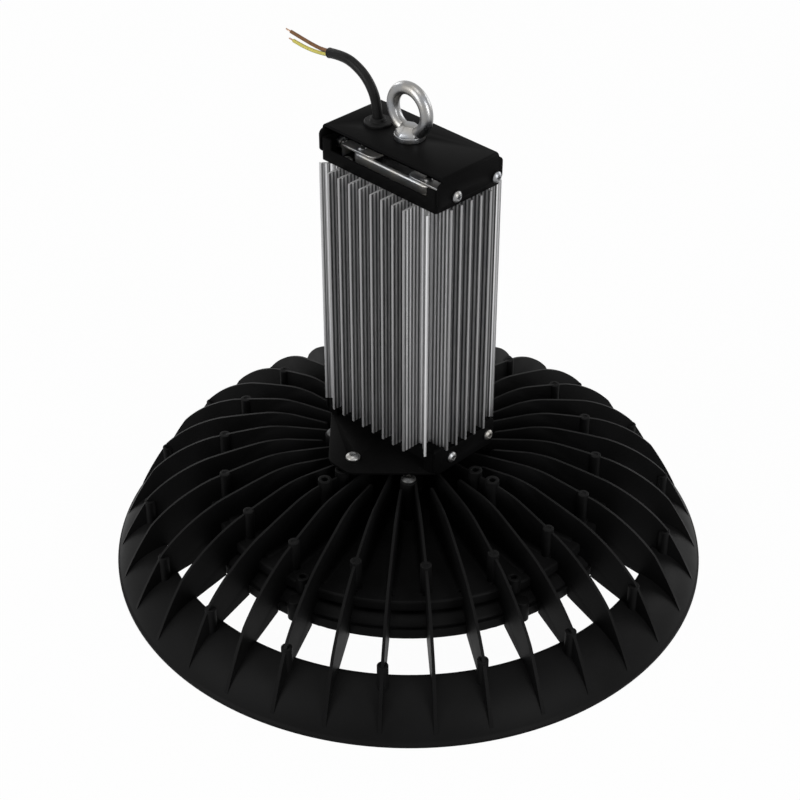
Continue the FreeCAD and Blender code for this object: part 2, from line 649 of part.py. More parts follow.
# ---------------------------------------------------------------- driver housing
def corner_ribs():
    """The core outline, its ribs and its bore as one flat face at z = 0."""
    hx, hy = D.core_half_x.v, D.core_half_y.v

    def rib(root, tip):
        """One fin in plan: rippled flanks from a wide root to a narrower flat tip."""
        root, tip = Vector(*root, 0), Vector(*tip, 0)
        length = (tip - root).Length
        along = (tip - root).normalize()
        across = Vector(-along.y, along.x, 0)
        ripples = max(2, round((length - 2) / D.ripple_pitch.v))
        stations = [0.0]
        for k in range(ripples):
            start = 2 + (length - 2) * k / ripples
            stations += [start, start + (length - 2) / ripples / 2]
        stations.append(length)
        flank = []
        for k, s in enumerate(stations):
            half = D.rib_root.v + (D.rib_tip.v - D.rib_root.v) * s / length
            if 0 < k < len(stations) - 1 and k % 2 == 0:
                half -= D.ripple_depth.v
            flank.append((s, half))
        left = [root + along * s + across * w for s, w in flank]
        right = [root + along * s - across * w for s, w in reversed(flank)]
        points = left + right
        return Part.Face(Part.makePolygon(points + points[:1]))

    def plate(x, y, radius):
        box = Part.makePlane(2 * x, 2 * y, Vector(-x, -y, 0))
        solid = box.extrude(Vector(0, 0, 1))
        upright = [e for e in solid.Edges if abs(e.BoundBox.ZLength - 1) < 1e-6]
        return solid.makeFillet(radius, upright)

    pieces = []
    for k in range(8):
        x = (k - 3.5) * D.long_fin_pitch.v
        for sign in (-1, 1):
            pieces.append(rib((x, sign * (hy - 1)), (x, sign * (D.core_half_y + D.long_fin_depth).v)))
    for k in range(5):
        y = (k - 2) * D.short_fin_pitch.v
        for sign in (-1, 1):
            pieces.append(rib((sign * (hx - 1), y), (sign * (D.core_half_x + D.short_fin_depth).v, y)))
    for sx in (-1, 1):
        for sy in (-1, 1):
            pieces.append(rib((sx * (hx - 1.6), sy * (hy - 1.6)),
                              (sx * (hx + D.corner_fin_x.v), sy * (hy + D.corner_fin_y.v))))
    slabs = [face.extrude(Vector(0, 0, 1)) for face in pieces]
    wall = D.core_wall.v
    core = plate(hx, hy, 3.0).fuse(slabs)
    bore = plate(hx - wall, hy - wall, 2.0)
    ports, threads = [], []
    for sx in (-1, 1):
        for sy in (-1, 1):
            centre = Vector(sx * PORT_X.v, sy * PORT_Y.v, 0)
            ports.append(Part.makeCylinder(D.port_wall_radius.v, 1, centre))
            threads.append(Part.makeCylinder(D.thread_m_four.v + D.thread_gap.v, 1, centre))
    solid = core.cut(bore).fuse(ports).cut(threads).removeSplitter()
    flat = [f for f in solid.Faces if abs(f.BoundBox.ZMax) < 1e-6]
    return max(flat, key=lambda f: f.Area)


# The section repeats one rippled fin 20 times, which a sketch can't hold at a workable speed.
housing_section = doc.addObject("Part::Feature", "housing_section")
housing_section.Shape = corner_ribs()
housing_section.setExpression("Placement.Base.z", HOUSING_BOTTOM.e)
driver_housing = doc.addObject("Part::Extrusion", "driver_housing")
driver_housing.Label = "driver_housing"
driver_housing.Base = housing_section
driver_housing.DirMode = "Custom"
driver_housing.Dir = Vector(0, 0, 1)
driver_housing.Solid = True
driver_housing.setExpression("LengthFwd", "Dims.housing_length")
doc.recompute()


# ---------------------------------------------------------------- end trays and brackets
SIDE_PLACES = (D.side_screw_near, D.side_screw_far)
PORTS = [(sx * PORT_X, sy * PORT_Y) for sx in (-1, 1) for sy in (-1, 1)]


# the side screws of both ends lie at one distance outside the extrusion's ends
UPPER_SIDE = TOP_PLATE_TOP - D.side_screw_drop
SIDE_LEVEL = UPPER_SIDE - HOUSING_TOP
LOWER_SIDE = HOUSING_BOTTOM - SIDE_LEVEL


def make_tray(name, seat, way):
    """A folded tray on one end of the extrusion, open away from it; way is +1 up, -1 down."""
    down = way < 0
    body = new_body(name)
    outline = new_sketch(body, name + "_outline", "XY_Plane", lift=seat)
    draw_loop(outline, rounded(TRAY_HALF_X, TRAY_HALF_Y, 2.0))
    pad(body, outline, D.tray_height, downwards=down)
    inside = new_sketch(body, name + "_inside", "XY_Plane", lift=seat + way * D.tray_height)
    draw_loop(inside, rounded(TRAY_HALF_X - D.tray_sheet, TRAY_HALF_Y - D.tray_sheet, 0.5))
    pocket(body, inside, D.tray_height - D.tray_sheet, reverse=down)
    window = new_sketch(body, name + "_sides", "XZ_Plane")
    half = TRAY_HALF_X - D.tray_ear
    low, high = seat + way * D.tray_side_height, seat + way * (D.tray_height + 5)
    loop = [(-half, low), (half, low), (half, high), (-half, high)]
    draw_loop(window, loop if way > 0 else loop[::-1])
    pocket(body, window)
    side = new_sketch(body, name + "_side_holes", "YZ_Plane")
    centre = seat + way * SIDE_LEVEL
    draw_circles(side, [(y, centre) for y in SIDE_PLACES], D.thread_m_four + D.hole_clear)
    pocket(body, side)
    ports = new_sketch(body, name + "_port_holes", "XY_Plane", lift=seat)
    draw_circles(ports, PORTS, D.thread_m_four + D.hole_clear)
    pocket(body, ports)
    return body



upper_tray = make_tray("upper_end_tray", HOUSING_TOP, 1)
driver_window = new_sketch(upper_tray, "driver_window", "XY_Plane", lift=HOUSING_TOP)
draw_loop(driver_window, rounded(CASE_HALF_X + 0.7, CASE_HALF_Y + 0.7, D.case_corner))
pocket(upper_tray, driver_window)
lower_tray = make_tray("lower_end_tray", HOUSING_BOTTOM, -1)
lead_hole = new_sketch(lower_tray, "tray_lead_hole", "XY_Plane", lift=HOUSING_BOTTOM)
draw_circles(lead_hole, [(0, 0)], D.lead_radius + 1)
pocket(lower_tray, lead_hole)


def channel_section(body, name, plate_face, way):
    """The folded strip, plate and both bends; way is +1 with walls up, -1 with walls down."""
    r, t, hx = D.bracket_bend, D.bracket_sheet, BRACKET_HALF_X
    end = plate_face + way * (r + 6)
    corners = [
        (-hx, end), (-hx, plate_face + way * r, r * way),
        (-hx + r, plate_face), (hx - r, plate_face, r * way),
        (hx, plate_face + way * r), (hx, end), (hx - t, end), (hx - t, plate_face + way * r, (t - r) * way),
        (hx - r, plate_face + way * t), (-hx + r, plate_face + way * t, (t - r) * way),
        (-hx + t, plate_face + way * r), (-hx + t, end),
    ]
    sketch = new_sketch(body, name, "XZ_Plane")
    draw_loop(sketch, corners)
    return sketch


def bracket_walls(body, name, corners):
    """The two upright walls of a bracket from one outline in y and z."""
    for side, start in (("right", TRAY_HALF_X), ("left", -BRACKET_HALF_X)):
        sketch = new_sketch(body, f"{name}_{side}", "YZ_Plane", lift=start)
        draw_loop(sketch, corners)
        pad(body, sketch, D.bracket_sheet)


top_bracket = new_body("top_bracket")
pad(top_bracket, channel_section(top_bracket, "top_strip", TOP_PLATE_TOP, -1),
    BRACKET_HALF_Y * 2, both_ways=True)
wall_low = TOP_PLATE_TOP - D.bracket_wall_drop
bracket_walls(top_bracket, "top_wall", [
    (3 - TRAY_HALF_Y, wall_low), (TRAY_HALF_Y - 3, wall_low, 3.0),
    (TRAY_HALF_Y, wall_low + 3), (TRAY_HALF_Y, TOP_PLATE_TOP - 6, 4.0),
    (BRACKET_HALF_Y - 0.8, TOP_PLATE_TOP - 2.8), (0.8 - BRACKET_HALF_Y, TOP_PLATE_TOP - 2.8, 4.0),
    (-TRAY_HALF_Y, TOP_PLATE_TOP - 6), (-TRAY_HALF_Y, wall_low + 3, 3.0),
])
wall_holes = new_sketch(top_bracket, "top_wall_holes", "YZ_Plane")
draw_circles(wall_holes, [(y, TOP_PLATE_TOP - D.side_screw_drop) for y in SIDE_PLACES],
             D.thread_m_four + D.hole_clear)
pocket(top_bracket, wall_holes)
eye_hole = new_sketch(top_bracket, "eye_hole", "XY_Plane", lift=TOP_PLATE_TOP)
draw_circles(eye_hole, [(0, 0)], D.thread_m_eight + D.hole_clear)
pocket(top_bracket, eye_hole)
cable_hole = new_sketch(top_bracket, "cable_hole", "XY_Plane", lift=TOP_PLATE_TOP)
draw_circles(cable_hole, [(D.cable_x, 0)], D.grommet_hole)
pocket(top_bracket, cable_hole)

base_bracket = new_body("base_bracket")
pad(base_bracket, channel_section(base_bracket, "base_strip", BASE_PLATE_UNDER, 1),
    BRACKET_HALF_Y * 2, both_ways=True)
plate_end = BRACKET_HALF_X - D.bracket_bend
plate_sketch = new_sketch(base_bracket, "base_plate", "XY_Plane", lift=BASE_PLATE_UNDER)
draw_loop(plate_sketch, [
    (-plate_end, -D.base_side_y), (-D.base_tip_half - 2, 2 - D.base_tip_y),
    (2 - D.base_tip_half, -D.base_tip_y),
    (D.base_tip_half - 2, -D.base_tip_y), (D.base_tip_half + 2, 2 - D.base_tip_y),
    (plate_end, -D.base_side_y),
    (plate_end, D.base_side_y), (D.base_tip_half + 2, D.base_tip_y - 2), (D.base_tip_half - 2, D.base_tip_y),
    (2 - D.base_tip_half, D.base_tip_y), (-D.base_tip_half - 2, D.base_tip_y - 2),
    (-plate_end, D.base_side_y),
])
pad(base_bracket, plate_sketch, D.bracket_sheet)
wall_top = HOUSING_BOTTOM - 0.4
bracket_walls(base_bracket, "base_wall", [
    (0.8 - BRACKET_HALF_Y, BASE_PLATE_UNDER + 2.8), (BRACKET_HALF_Y - 0.8, BASE_PLATE_UNDER + 2.8, 4.0),
    (TRAY_HALF_Y, BASE_PLATE_UNDER + 6), (TRAY_HALF_Y, BASE_EAR_TOP - 2, 2.0),
    (TRAY_HALF_Y - 2, BASE_EAR_TOP), (D.base_ear_inner, BASE_EAR_TOP),
    (D.base_ear_inner, wall_top), (-D.base_ear_inner, wall_top), (-D.base_ear_inner, BASE_EAR_TOP),
    (2 - TRAY_HALF_Y, BASE_EAR_TOP, 2.0), (-TRAY_HALF_Y, BASE_EAR_TOP - 2),
    (-TRAY_HALF_Y, BASE_PLATE_UNDER + 6, 4.0),
])
base_wall_holes = new_sketch(base_bracket, "base_wall_holes", "YZ_Plane")
draw_circles(base_wall_holes, [(y, LOWER_SIDE) for y in SIDE_PLACES], D.thread_m_four + D.hole_clear)
pocket(base_bracket, base_wall_holes)
base_holes = new_sketch(base_bracket, "base_holes", "XY_Plane", lift=BASE_PLATE_UNDER)
draw_circles(base_holes, BRACKET_PLACES, D.thread_m_five + D.hole_clear)
draw_circles(base_holes, [(0, 0)], size(8))
pocket(base_bracket, base_holes)

# ---------------------------------------------------------------- driver
driver_case = new_body("driver_case")
case_outline = new_sketch(driver_case, "case_outline", "XY_Plane", lift=CASE_BOTTOM)
draw_loop(case_outline, rounded(CASE_HALF_X, CASE_HALF_Y, D.case_corner))
pad(driver_case, case_outline, CASE_TOP - CASE_BOTTOM)
round_edges(driver_case, D.case_rim_round, lambda e: level_edge(e, CASE_TOP.v), "case_rim")
case_inside = new_sketch(driver_case, "case_inside", "XY_Plane", lift=CASE_TOP)
draw_loop(case_inside, rounded(CASE_HALF_X - D.case_wall, CASE_HALF_Y - D.case_wall,
                               D.case_corner - D.case_wall))
pocket(driver_case, case_inside, CASE_TOP - CASE_BOTTOM - D.case_wall)
CLIP_SCREWS = [(sx * CLIP_SCREW_X, sy * CLIP_SCREW_Y) for sx in (-1, 1) for sy in (-1, 1)]
BOSS_START = CASE_TOP - D.case_boss_depth
case_bosses = new_sketch(driver_case, "case_bosses", "XY_Plane", lift=BOSS_START)
draw_circles(case_bosses, CLIP_SCREWS, D.case_boss)
pad(driver_case, case_bosses, D.case_boss_depth)
case_threads = new_sketch(driver_case, "case_threads", "XY_Plane", lift=CASE_TOP)
draw_circles(case_threads, CLIP_SCREWS, D.thread_m_three + D.thread_gap)
pocket(driver_case, case_threads, 12)
case_exit = new_sketch(driver_case, "case_exit", "XY_Plane", lift=CASE_BOTTOM + D.case_wall)
draw_circles(case_exit, [(0, 0)], D.lead_radius)
pocket(driver_case, case_exit, D.case_wall + 1)

potting = new_body("driver_potting")
pot_outline = new_sketch(potting, "potting_outline", "XY_Plane", lift=CASE_BOTTOM + D.case_wall)
draw_loop(pot_outline, rounded(CASE_HALF_X - D.case_wall, CASE_HALF_Y - D.case_wall,
                               D.case_corner - D.case_wall))
pad(potting, pot_outline, POTTING_TOP - CASE_BOTTOM - D.case_wall)
pot_bosses = new_sketch(potting, "potting_round_bosses", "XY_Plane", lift=POTTING_TOP)
draw_circles(pot_bosses, CLIP_SCREWS, D.case_boss)
pocket(potting, pot_bosses, POTTING_TOP - BOSS_START)

driver_pad = new_body("driver_pad")
pad_outline = new_sketch(driver_pad, "driver_pad_outline", "XY_Plane", lift=HOUSING_BOTTOM)
draw_loop(pad_outline, rounded(CASE_HALF_X - 3, CASE_HALF_Y - 2, 3.0))
draw_circles(pad_outline, [(0, 0)], D.lead_radius + 1)
pad(driver_pad, pad_outline, D.pad_thick)

driver_clips = new_body("driver_clips")
ear = new_sketch(driver_clips, "clip_ear", "XY_Plane", lift=CASE_TOP)
draw_loop(ear, [
    (D.clip_inner + 5, -CLIP_HALF_Y), (CLIP_OUTER, -CLIP_HALF_Y), (CLIP_OUTER, CLIP_HALF_Y),
    (D.clip_inner + 5, CLIP_HALF_Y, 5.0), (D.clip_inner, CLIP_HALF_Y - 5),
    (D.clip_inner, D.clip_slot_half), (D.clip_slot, D.clip_slot_half), (D.clip_slot, -D.clip_slot_half),
    (D.clip_inner, -D.clip_slot_half), (D.clip_inner, 5 - CLIP_HALF_Y, 5.0),
])
ear_pad = pad(driver_clips, ear, D.clip_sheet)
leg = new_sketch(driver_clips, "clip_leg", "XY_Plane", lift=HOUSING_TOP + D.tray_sheet)
draw_loop(leg, [
    (CLIP_OUTER - D.clip_sheet, -CLIP_HALF_Y), (CLIP_OUTER, -CLIP_HALF_Y),
    (CLIP_OUTER, CLIP_HALF_Y), (CLIP_OUTER - D.clip_sheet, CLIP_HALF_Y),
])
leg_pad = pad(driver_clips, leg, CASE_TOP + D.clip_sheet - HOUSING_TOP - D.tray_sheet)
ear_holes = new_sketch(driver_clips, "clip_holes", "XY_Plane", lift=CASE_TOP + D.clip_sheet)
draw_circles(ear_holes, [(CLIP_SCREW_X, -CLIP_SCREW_Y), (CLIP_SCREW_X, CLIP_SCREW_Y)],
             D.thread_m_three + D.hole_clear)
ear_cut = pocket(driver_clips, ear_holes, D.clip_sheet + 1)
polar(driver_clips, [ear_pad, leg_pad, ear_cut], "clip_pair", 2)

# ---------------------------------------------------------------- eye bolt
ring_level = TOP_PLATE_TOP + D.eye_height - D.eye_ring_mean - D.eye_ring_section
eye_stem = turned("eye_stem", [
    (0, TOP_PLATE_TOP - D.eye_shank_length), (D.eye_shank_radius - 0.6, TOP_PLATE_TOP - D.eye_shank_length),
    (D.eye_shank_radius, TOP_PLATE_TOP - D.eye_shank_length + 0.6), (D.eye_shank_radius, TOP_PLATE_TOP),
    (D.eye_collar_radius - 0.5, TOP_PLATE_TOP), (D.eye_collar_radius, TOP_PLATE_TOP + 0.5),
    (D.eye_collar_radius, TOP_PLATE_TOP + D.eye_collar_height - 0.5),
    (D.eye_collar_radius - 0.5, TOP_PLATE_TOP + D.eye_collar_height),
    (0, TOP_PLATE_TOP + D.eye_collar_height),
])
shoulder_low = doc.addObject("Part::RegularPolygon", "eye_shoulder_low")
shoulder_low.Polygon = 6
shoulder_low.setExpression("Circumradius", (D.eye_collar_radius - 0.9).e)
shoulder_low.setExpression("Placement.Base.z", (TOP_PLATE_TOP + D.eye_collar_height - 0.3).e)
shoulder_high = doc.addObject("Part::RegularPolygon", "eye_shoulder_high")
shoulder_high.Polygon = 6
shoulder_high.setExpression("Circumradius", (D.eye_ring_section + 1).e)
shoulder_high.setExpression("Placement.Base.z", (ring_level - D.eye_ring_mean + 1.5).e)
shoulder = doc.addObject("Part::Loft", "eye_shoulder")
shoulder.Sections = [shoulder_low, shoulder_high]
shoulder.Solid = True
shoulder.Ruled = True
eye_ring = doc.addObject("Part::Torus", "eye_ring")
set_value(eye_ring, "Radius1", D.eye_ring_mean)
set_value(eye_ring, "Radius2", D.eye_ring_section)
eye_ring.Placement = Placement(Vector(), Rotation(Vector(1, 0, 0), 90))
eye_ring.setExpression("Placement.Base.z", ring_level.e)
eye_clear = doc.addObject("Part::Cylinder", "eye_clear")
set_value(eye_clear, "Radius", D.eye_ring_mean - D.eye_ring_section)
set_value(eye_clear, "Height", D.eye_collar_radius * 4)
eye_clear.Placement = Placement(Vector(0, 20, 0), Rotation(Vector(1, 0, 0), 90))
eye_clear.setExpression("Placement.Base.z", ring_level.e)
eye_clear.setExpression("Placement.Base.y", (D.eye_collar_radius * 2).e)
shoulder_open = doc.addObject("Part::Cut", "eye_shoulder_open")
shoulder_open.Base = shoulder
shoulder_open.Tool = eye_clear
eye_bolt = doc.addObject("Part::MultiFuse", "eye_bolt")
eye_bolt.Label = "eye_bolt"
eye_bolt.Shapes = [eye_stem, shoulder_open, eye_ring]
doc.recompute()

turned("eye_bolt_washer", [
    (D.thread_m_eight + D.hole_clear, WASHER_UNDER), (D.eye_washer_radius, WASHER_UNDER),
    (D.eye_washer_radius, TOP_PLATE_UNDER), (D.thread_m_eight + D.hole_clear, TOP_PLATE_UNDER),
])


def hex_nut(name, flats, height, bore):
    """A nut about Z standing on z = 0, corners chamfered by a turned cut."""
    body = new_body(name)
    sketch = new_sketch(body, name + "_hexagon", "XY_Plane")
    half = size(flats) / 2
    out, side = half * 1.154701, half * 0.577350
    draw_loop(sketch, [(out, 0), (side, half), (-side, half), (-out, 0), (-side, -half), (side, -half)])
    draw_circles(sketch, [(0, 0)], bore)
    pad(body, sketch, height)
    top = size(height)
    trim = new_sketch(body, name + "_chamfer", "XZ_Plane")
    draw_loop(trim, [
        (half * 0.97, top + 0.01), (half * 1.3, top - half * 0.19),
        (half * 1.3, top + 1), (half * 0.97, top + 1)])
    groove(body, trim)
    return body


nut_m8 = hex_nut("nut_m8_master", 13, 6.5, D.thread_m_eight + D.thread_gap)
copies("eye_bolt_nut", nut_m8, [(0, 0, WASHER_UNDER, FLIP, 180)])
nut_m4 = hex_nut("nut_m4_master", 7, 3.2, D.thread_m_four + D.thread_gap)


def screw(name, thread, length, head, height, key):
    """A domed screw about Z, its head's underside at z = 0, with a cross or hexagon recess."""
    thread, head, height = size(thread), size(head), size(height)
    body = turned(name, [
        (0, -length), (thread - 0.3, -length), (thread, 0.3 - length), (thread, 0), (head, 0),
        (head, height * 0.4, head * 1.5), (head * 0.55, height), (0, height),
    ])
    recess = new_sketch(body, name + "_recess", "XY_Plane", lift=height)
    if key == "hexagon":
        r = thread * 0.62
        draw_loop(recess, [(r * math.cos(math.radians(60 * k)), r * math.sin(math.radians(60 * k)))
                           for k in range(6)])
    else:
        a, b = head * 0.46, head * 0.13
        draw_loop(recess, [(a, -b), (a, b), (b, b), (b, a), (-b, a), (-b, b), (-a, b), (-a, -b),
                           (-b, -b), (-b, -a), (b, -a), (b, -b)])
    pocket(body, recess, height * 0.6)
    return body


side_screw = screw("side_screw_master", D.thread_m_four, 8, 3.6, 2.4, "cross")
port_screw = screw("port_screw_master", D.thread_m_four, 12, 3.7, 2.6, "cross")
bracket_screw = screw("bracket_screw_master", D.thread_m_five, 12, 4.75, 2.75, "hexagon")
service_screw = screw("service_screw_master", D.thread_m_five, 12, 4.75, 3.0, "hexagon")
small_screw = screw("small_screw_master", D.thread_m_three, 5, 2.8, 1.8, "cross")
clip_screw = screw("clip_screw_master", D.thread_m_three, 8, 2.8, 1.8, "cross")
ring_screw = screw("ring_screw_master", D.thread_m_four, 12, 3.6, 2.4, "cross")

TRAY_INNER_X = TRAY_HALF_X - D.tray_sheet
for node, level in (("top_side", UPPER_SIDE), ("base_side", LOWER_SIDE)):
    screw_places, nut_places = [], []
    for y in SIDE_PLACES:
        for sign in (-1, 1):
            screw_places.append((sign * BRACKET_HALF_X, y, level, SIDE_Y, 90 * sign))
            nut_places.append((sign * TRAY_INNER_X, y, level, SIDE_Y, -90 * sign))
    copies(node + "_screws", side_screw, screw_places)
    copies(node + "_nuts", nut_m4, nut_places)
copies("upper_tray_screws", port_screw, [(x, y, HOUSING_TOP + D.tray_sheet, UP, 0) for x, y in PORTS])
copies("lower_tray_screws", port_screw, [(x, y, HOUSING_BOTTOM - D.tray_sheet, FLIP, 180) for x, y in PORTS])
copies("base_bracket_screws", bracket_screw, [(x, y, BASE_PLATE_TOP, UP, 0) for x, y in BRACKET_PLACES])
copies("driver_clip_screws", clip_screw, [(x, y, CASE_TOP + D.clip_sheet, UP, 0) for x, y in CLIP_SCREWS])
copies("service_post_screws", service_screw, [(x, y, D.service_post_top, UP, 0) for x, y in SERVICE_PLACES])
copies("cover_ring_screws", ring_screw, [(x, y, D.ring_under, FLIP, 180) for x, y in LUG_PLACES])
copies("led_board_screws", small_screw, [(x, y, BOARD_UNDER, FLIP, 180) for x, y in BOARD_PLACES])

# ---------------------------------------------------------------- seals and cables
turned("lead_seal", [
    (D.lead_radius, D.disc_under), (D.seal_bore, D.disc_under), (D.seal_bore, D.disc_top),
    (D.hub_bore - 0.3, D.disc_top), (D.hub_bore - 0.3, D.disc_top + 2), (D.lead_radius + 2, D.disc_top + 4),
    (D.lead_radius, D.disc_top + 4),
])
led_lead = doc.addObject("Part::Cylinder", "led_lead")
led_lead.Label = "led_lead"
set_value(led_lead, "Radius", D.lead_radius)
set_value(led_lead, "Height", CASE_BOTTOM + D.case_wall - D.disc_under)
led_lead.setExpression("Placement.Base.z", D.disc_under.e)

grommet = turned("cable_grommet", [
    (D.cable_radius, TOP_PLATE_UNDER - 2), (D.grommet_hole + 1.2, TOP_PLATE_UNDER - 2),
    (D.grommet_hole + 1.2, TOP_PLATE_UNDER), (D.grommet_hole, TOP_PLATE_UNDER),
    (D.grommet_hole, TOP_PLATE_TOP), (D.grommet_radius, TOP_PLATE_TOP),
    (D.grommet_radius, GROMMET_TOP - 0.8, 0.8), (D.grommet_radius - 0.8, GROMMET_TOP),
    (D.cable_radius + 2, GROMMET_TOP), (D.cable_radius + 1.4, COLLAR_TOP), (D.cable_radius, COLLAR_TOP),
])
grommet.setExpression("Placement.Base.x", D.cable_x.e)
mains_tail = doc.addObject("Part::Cylinder", "mains_tail")
mains_tail.Label = "mains_tail"
set_value(mains_tail, "Radius", D.cable_radius)
set_value(mains_tail, "Height", CORD_START - POTTING_TOP)
mains_tail.setExpression("Placement.Base.x", D.cable_x.e)
mains_tail.setExpression("Placement.Base.z", POTTING_TOP.e)


def cord(name, radius, route):
    """A round tube along straight runs joined by tangent arcs."""
    points = [Vector(*p) for p in route]
    edges, start, radii, length = [], points[0], [], 0.0
    for i in range(1, len(points) - 1):
        before, after = points[i] - points[i - 1], points[i + 1] - points[i]
        half_turn = before.getAngle(after) / 2
        setback = 0.45 * min(before.Length, after.Length)
        bend = setback / math.tan(half_turn)
        a = points[i] - before.normalize() * setback
        b = points[i] + after.normalize() * setback
        to_centre = (a + b) * 0.5 - points[i]
        reach = bend / math.cos(half_turn) - bend
        middle = points[i] + to_centre.normalize() * reach
        edges.append(Part.LineSegment(start, a).toShape())
        edges.append(Part.Arc(a, middle, b).toShape())
        start = b
        radii.append(bend)
    edges.append(Part.LineSegment(start, points[-1]).toShape())
    path = Part.Wire(edges)
    heading = points[1] - points[0]
    section = Part.Wire([Part.makeCircle(radius, points[0], heading)])
    shape = path.makePipeShell([section], True, True)
    swept = math.pi * radius ** 2 * path.Length
    print(f"{name}: length {path.Length:.1f}, bend radii {[round(r, 1) for r in radii]},"
          f" volume {shape.Volume:.1f} of {swept:.1f}")
    feature = doc.addObject("Part::Feature", name)
    feature.Label = name
    feature.Shape = shape
    return feature


# Routes are points in the part's frame: a swept tube has no primitive of its own.
foot_z = CORD_START.v
cable_x = D.cable_x.v
cord("mains_cable", D.cable_radius.v, [
    (cable_x, 0, foot_z), (cable_x, 0, foot_z + 16.4), (cable_x - 8.2, 0, foot_z + 30.6),
    (cable_x - 22.1, 0, foot_z + 37.7), (cable_x - 34.6, 0, foot_z + 38.0),
    (cable_x - 42.4, 0, foot_z + 36.6),
])
core_z = foot_z + 35.9
brown = [(-69.7, 0, core_z + 2.0), (-75.2, 0, core_z + 1.0), (-84.2, 0.1, core_z + 1.2),
         (-94.5, 0, core_z + 2.5), (-104.3, 0, core_z + 3.7)]
green = [(-69.3, -1.17, core_z - 0.1), (-74.8, -1.17, core_z - 1.1), (-83.5, -1.6, core_z - 1.6),
         (-91.9, -1.9, core_z - 1.3), (-100.2, -1.7, core_z - 0.5)]
blue = [(-69.3, 1.17, core_z - 0.1), (-74.8, 1.17, core_z - 1.1), (-83.8, 1.5, core_z - 0.8),
        (-93, 1.9, core_z + 0.5), (-101.5, 1.6, core_z + 1.7)]
cord("core_brown", D.core_radius.v, brown)
cord("core_green_yellow", D.core_radius.v, green)
cord("core_blue", D.core_radius.v, blue)
bare = []
for index, (core, reach) in enumerate(((brown, 6.0), (green, 5.5), (blue, 5.5))):
    end, before = Vector(*core[-1]), Vector(*core[-2])
    heading = (end - before).normalize()
    strand = doc.addObject("Part::Cylinder", f"strand_{index + 1}")
    set_value(strand, "Radius", D.strand_radius)
    strand.Height = reach
    strand.Placement = Placement(end, Rotation(Vector(0, 0, 1), heading))
    bare.append(strand)
strands = doc.addObject("Part::Compound", "core_strands")
strands.Label = "core_strands"
strands.Links = bare
doc.recompute()

# ---------------------------------------------------------------- check and export
NODES = (
    "heat_sink", "cover_ring", "cover_ring_screws", "cover_glass", "cover_gasket", "led_board",
    "led_board_screws", "led_chips", "lead_seal", "led_lead", "base_bracket", "base_bracket_screws",
    "service_post_screws", "base_side_screws", "base_side_nuts", "lower_end_tray",
    "lower_tray_screws", "driver_housing", "driver_pad", "driver_case", "driver_potting",
    "driver_clips", "driver_clip_screws", "upper_end_tray", "upper_tray_screws", "top_bracket",
    "top_side_screws", "top_side_nuts", "eye_bolt", "eye_bolt_washer", "eye_bolt_nut",
    "cable_grommet", "mains_tail", "mains_cable", "core_brown", "core_green_yellow", "core_blue",
    "core_strands",
)
for item in doc.Objects:
    if "Invalid" in item.State or "Error" in item.State:
        raise RuntimeError(f"{item.Name}: {item.State}")
    if hasattr(item, "Shape") and item.TypeId not in ("App::Line", "App::Plane", "App::Point"):
        if item.TypeId.startswith("App::"):
            continue
        if item.Shape.isNull() or not item.Shape.isValid():
            raise RuntimeError(f"{item.Name} has no valid shape")
os.makedirs("parts", exist_ok=True)
for node in NODES:
    shape = doc.getObject(node).Shape
    shape.exportStep(f"parts/{node}.step")
    box = shape.BoundBox
    print(f"{node}: {len(shape.Solids)} solid(s), {shape.Volume / 1000:.2f} cm3, "
          f"z {box.ZMin:.1f}..{box.ZMax:.1f}")
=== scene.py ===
"""Looks of a round high bay light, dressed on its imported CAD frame.

Shapes are made in millimetres and become metres when they are turned into pieces. The frame is that of the
CAD part: the origin is on the lamp's axis in the plane of the skirt's rim, +Z runs up through the eye bolt
and +X along the driver housing.
"""
import logging
import math
import random
from collections.abc import Iterable, Sequence
from dataclasses import dataclass
from enum import Enum

import bmesh
import bpy
from mathutils import Matrix, Vector


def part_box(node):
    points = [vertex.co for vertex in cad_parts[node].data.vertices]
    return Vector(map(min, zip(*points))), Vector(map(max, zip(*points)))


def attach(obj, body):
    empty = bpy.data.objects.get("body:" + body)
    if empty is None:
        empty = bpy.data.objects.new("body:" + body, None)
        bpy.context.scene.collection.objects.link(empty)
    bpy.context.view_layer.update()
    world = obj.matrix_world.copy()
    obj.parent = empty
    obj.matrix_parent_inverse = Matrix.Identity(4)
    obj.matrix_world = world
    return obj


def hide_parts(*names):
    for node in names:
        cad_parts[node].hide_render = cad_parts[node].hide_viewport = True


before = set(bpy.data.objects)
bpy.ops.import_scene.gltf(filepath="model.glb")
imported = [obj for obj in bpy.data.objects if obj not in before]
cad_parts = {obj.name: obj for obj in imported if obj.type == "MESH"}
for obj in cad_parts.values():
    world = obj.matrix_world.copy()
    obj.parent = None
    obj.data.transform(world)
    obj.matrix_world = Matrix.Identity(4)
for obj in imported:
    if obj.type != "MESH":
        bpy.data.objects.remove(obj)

LOG = logging.getLogger("high_bay")
MM = 0.001
BODY = "root"
Point = tuple[float, float]
Place = tuple[float, float, float]
Colour = tuple[float, float, float, float]
Socket = bpy.types.NodeSocket
Material = bpy.types.Material


# ------------------------------------------------------------------------------- dimensions
def box_mm(node: str) -> tuple[Vector, Vector]:
    """Lowest and highest corner of a CAD node.

    Args:
        node: The node's name.

    Returns:
        The two corners in millimetres.
    """
    low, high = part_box(node)
    return Vector(low) / MM, Vector(high) / MM


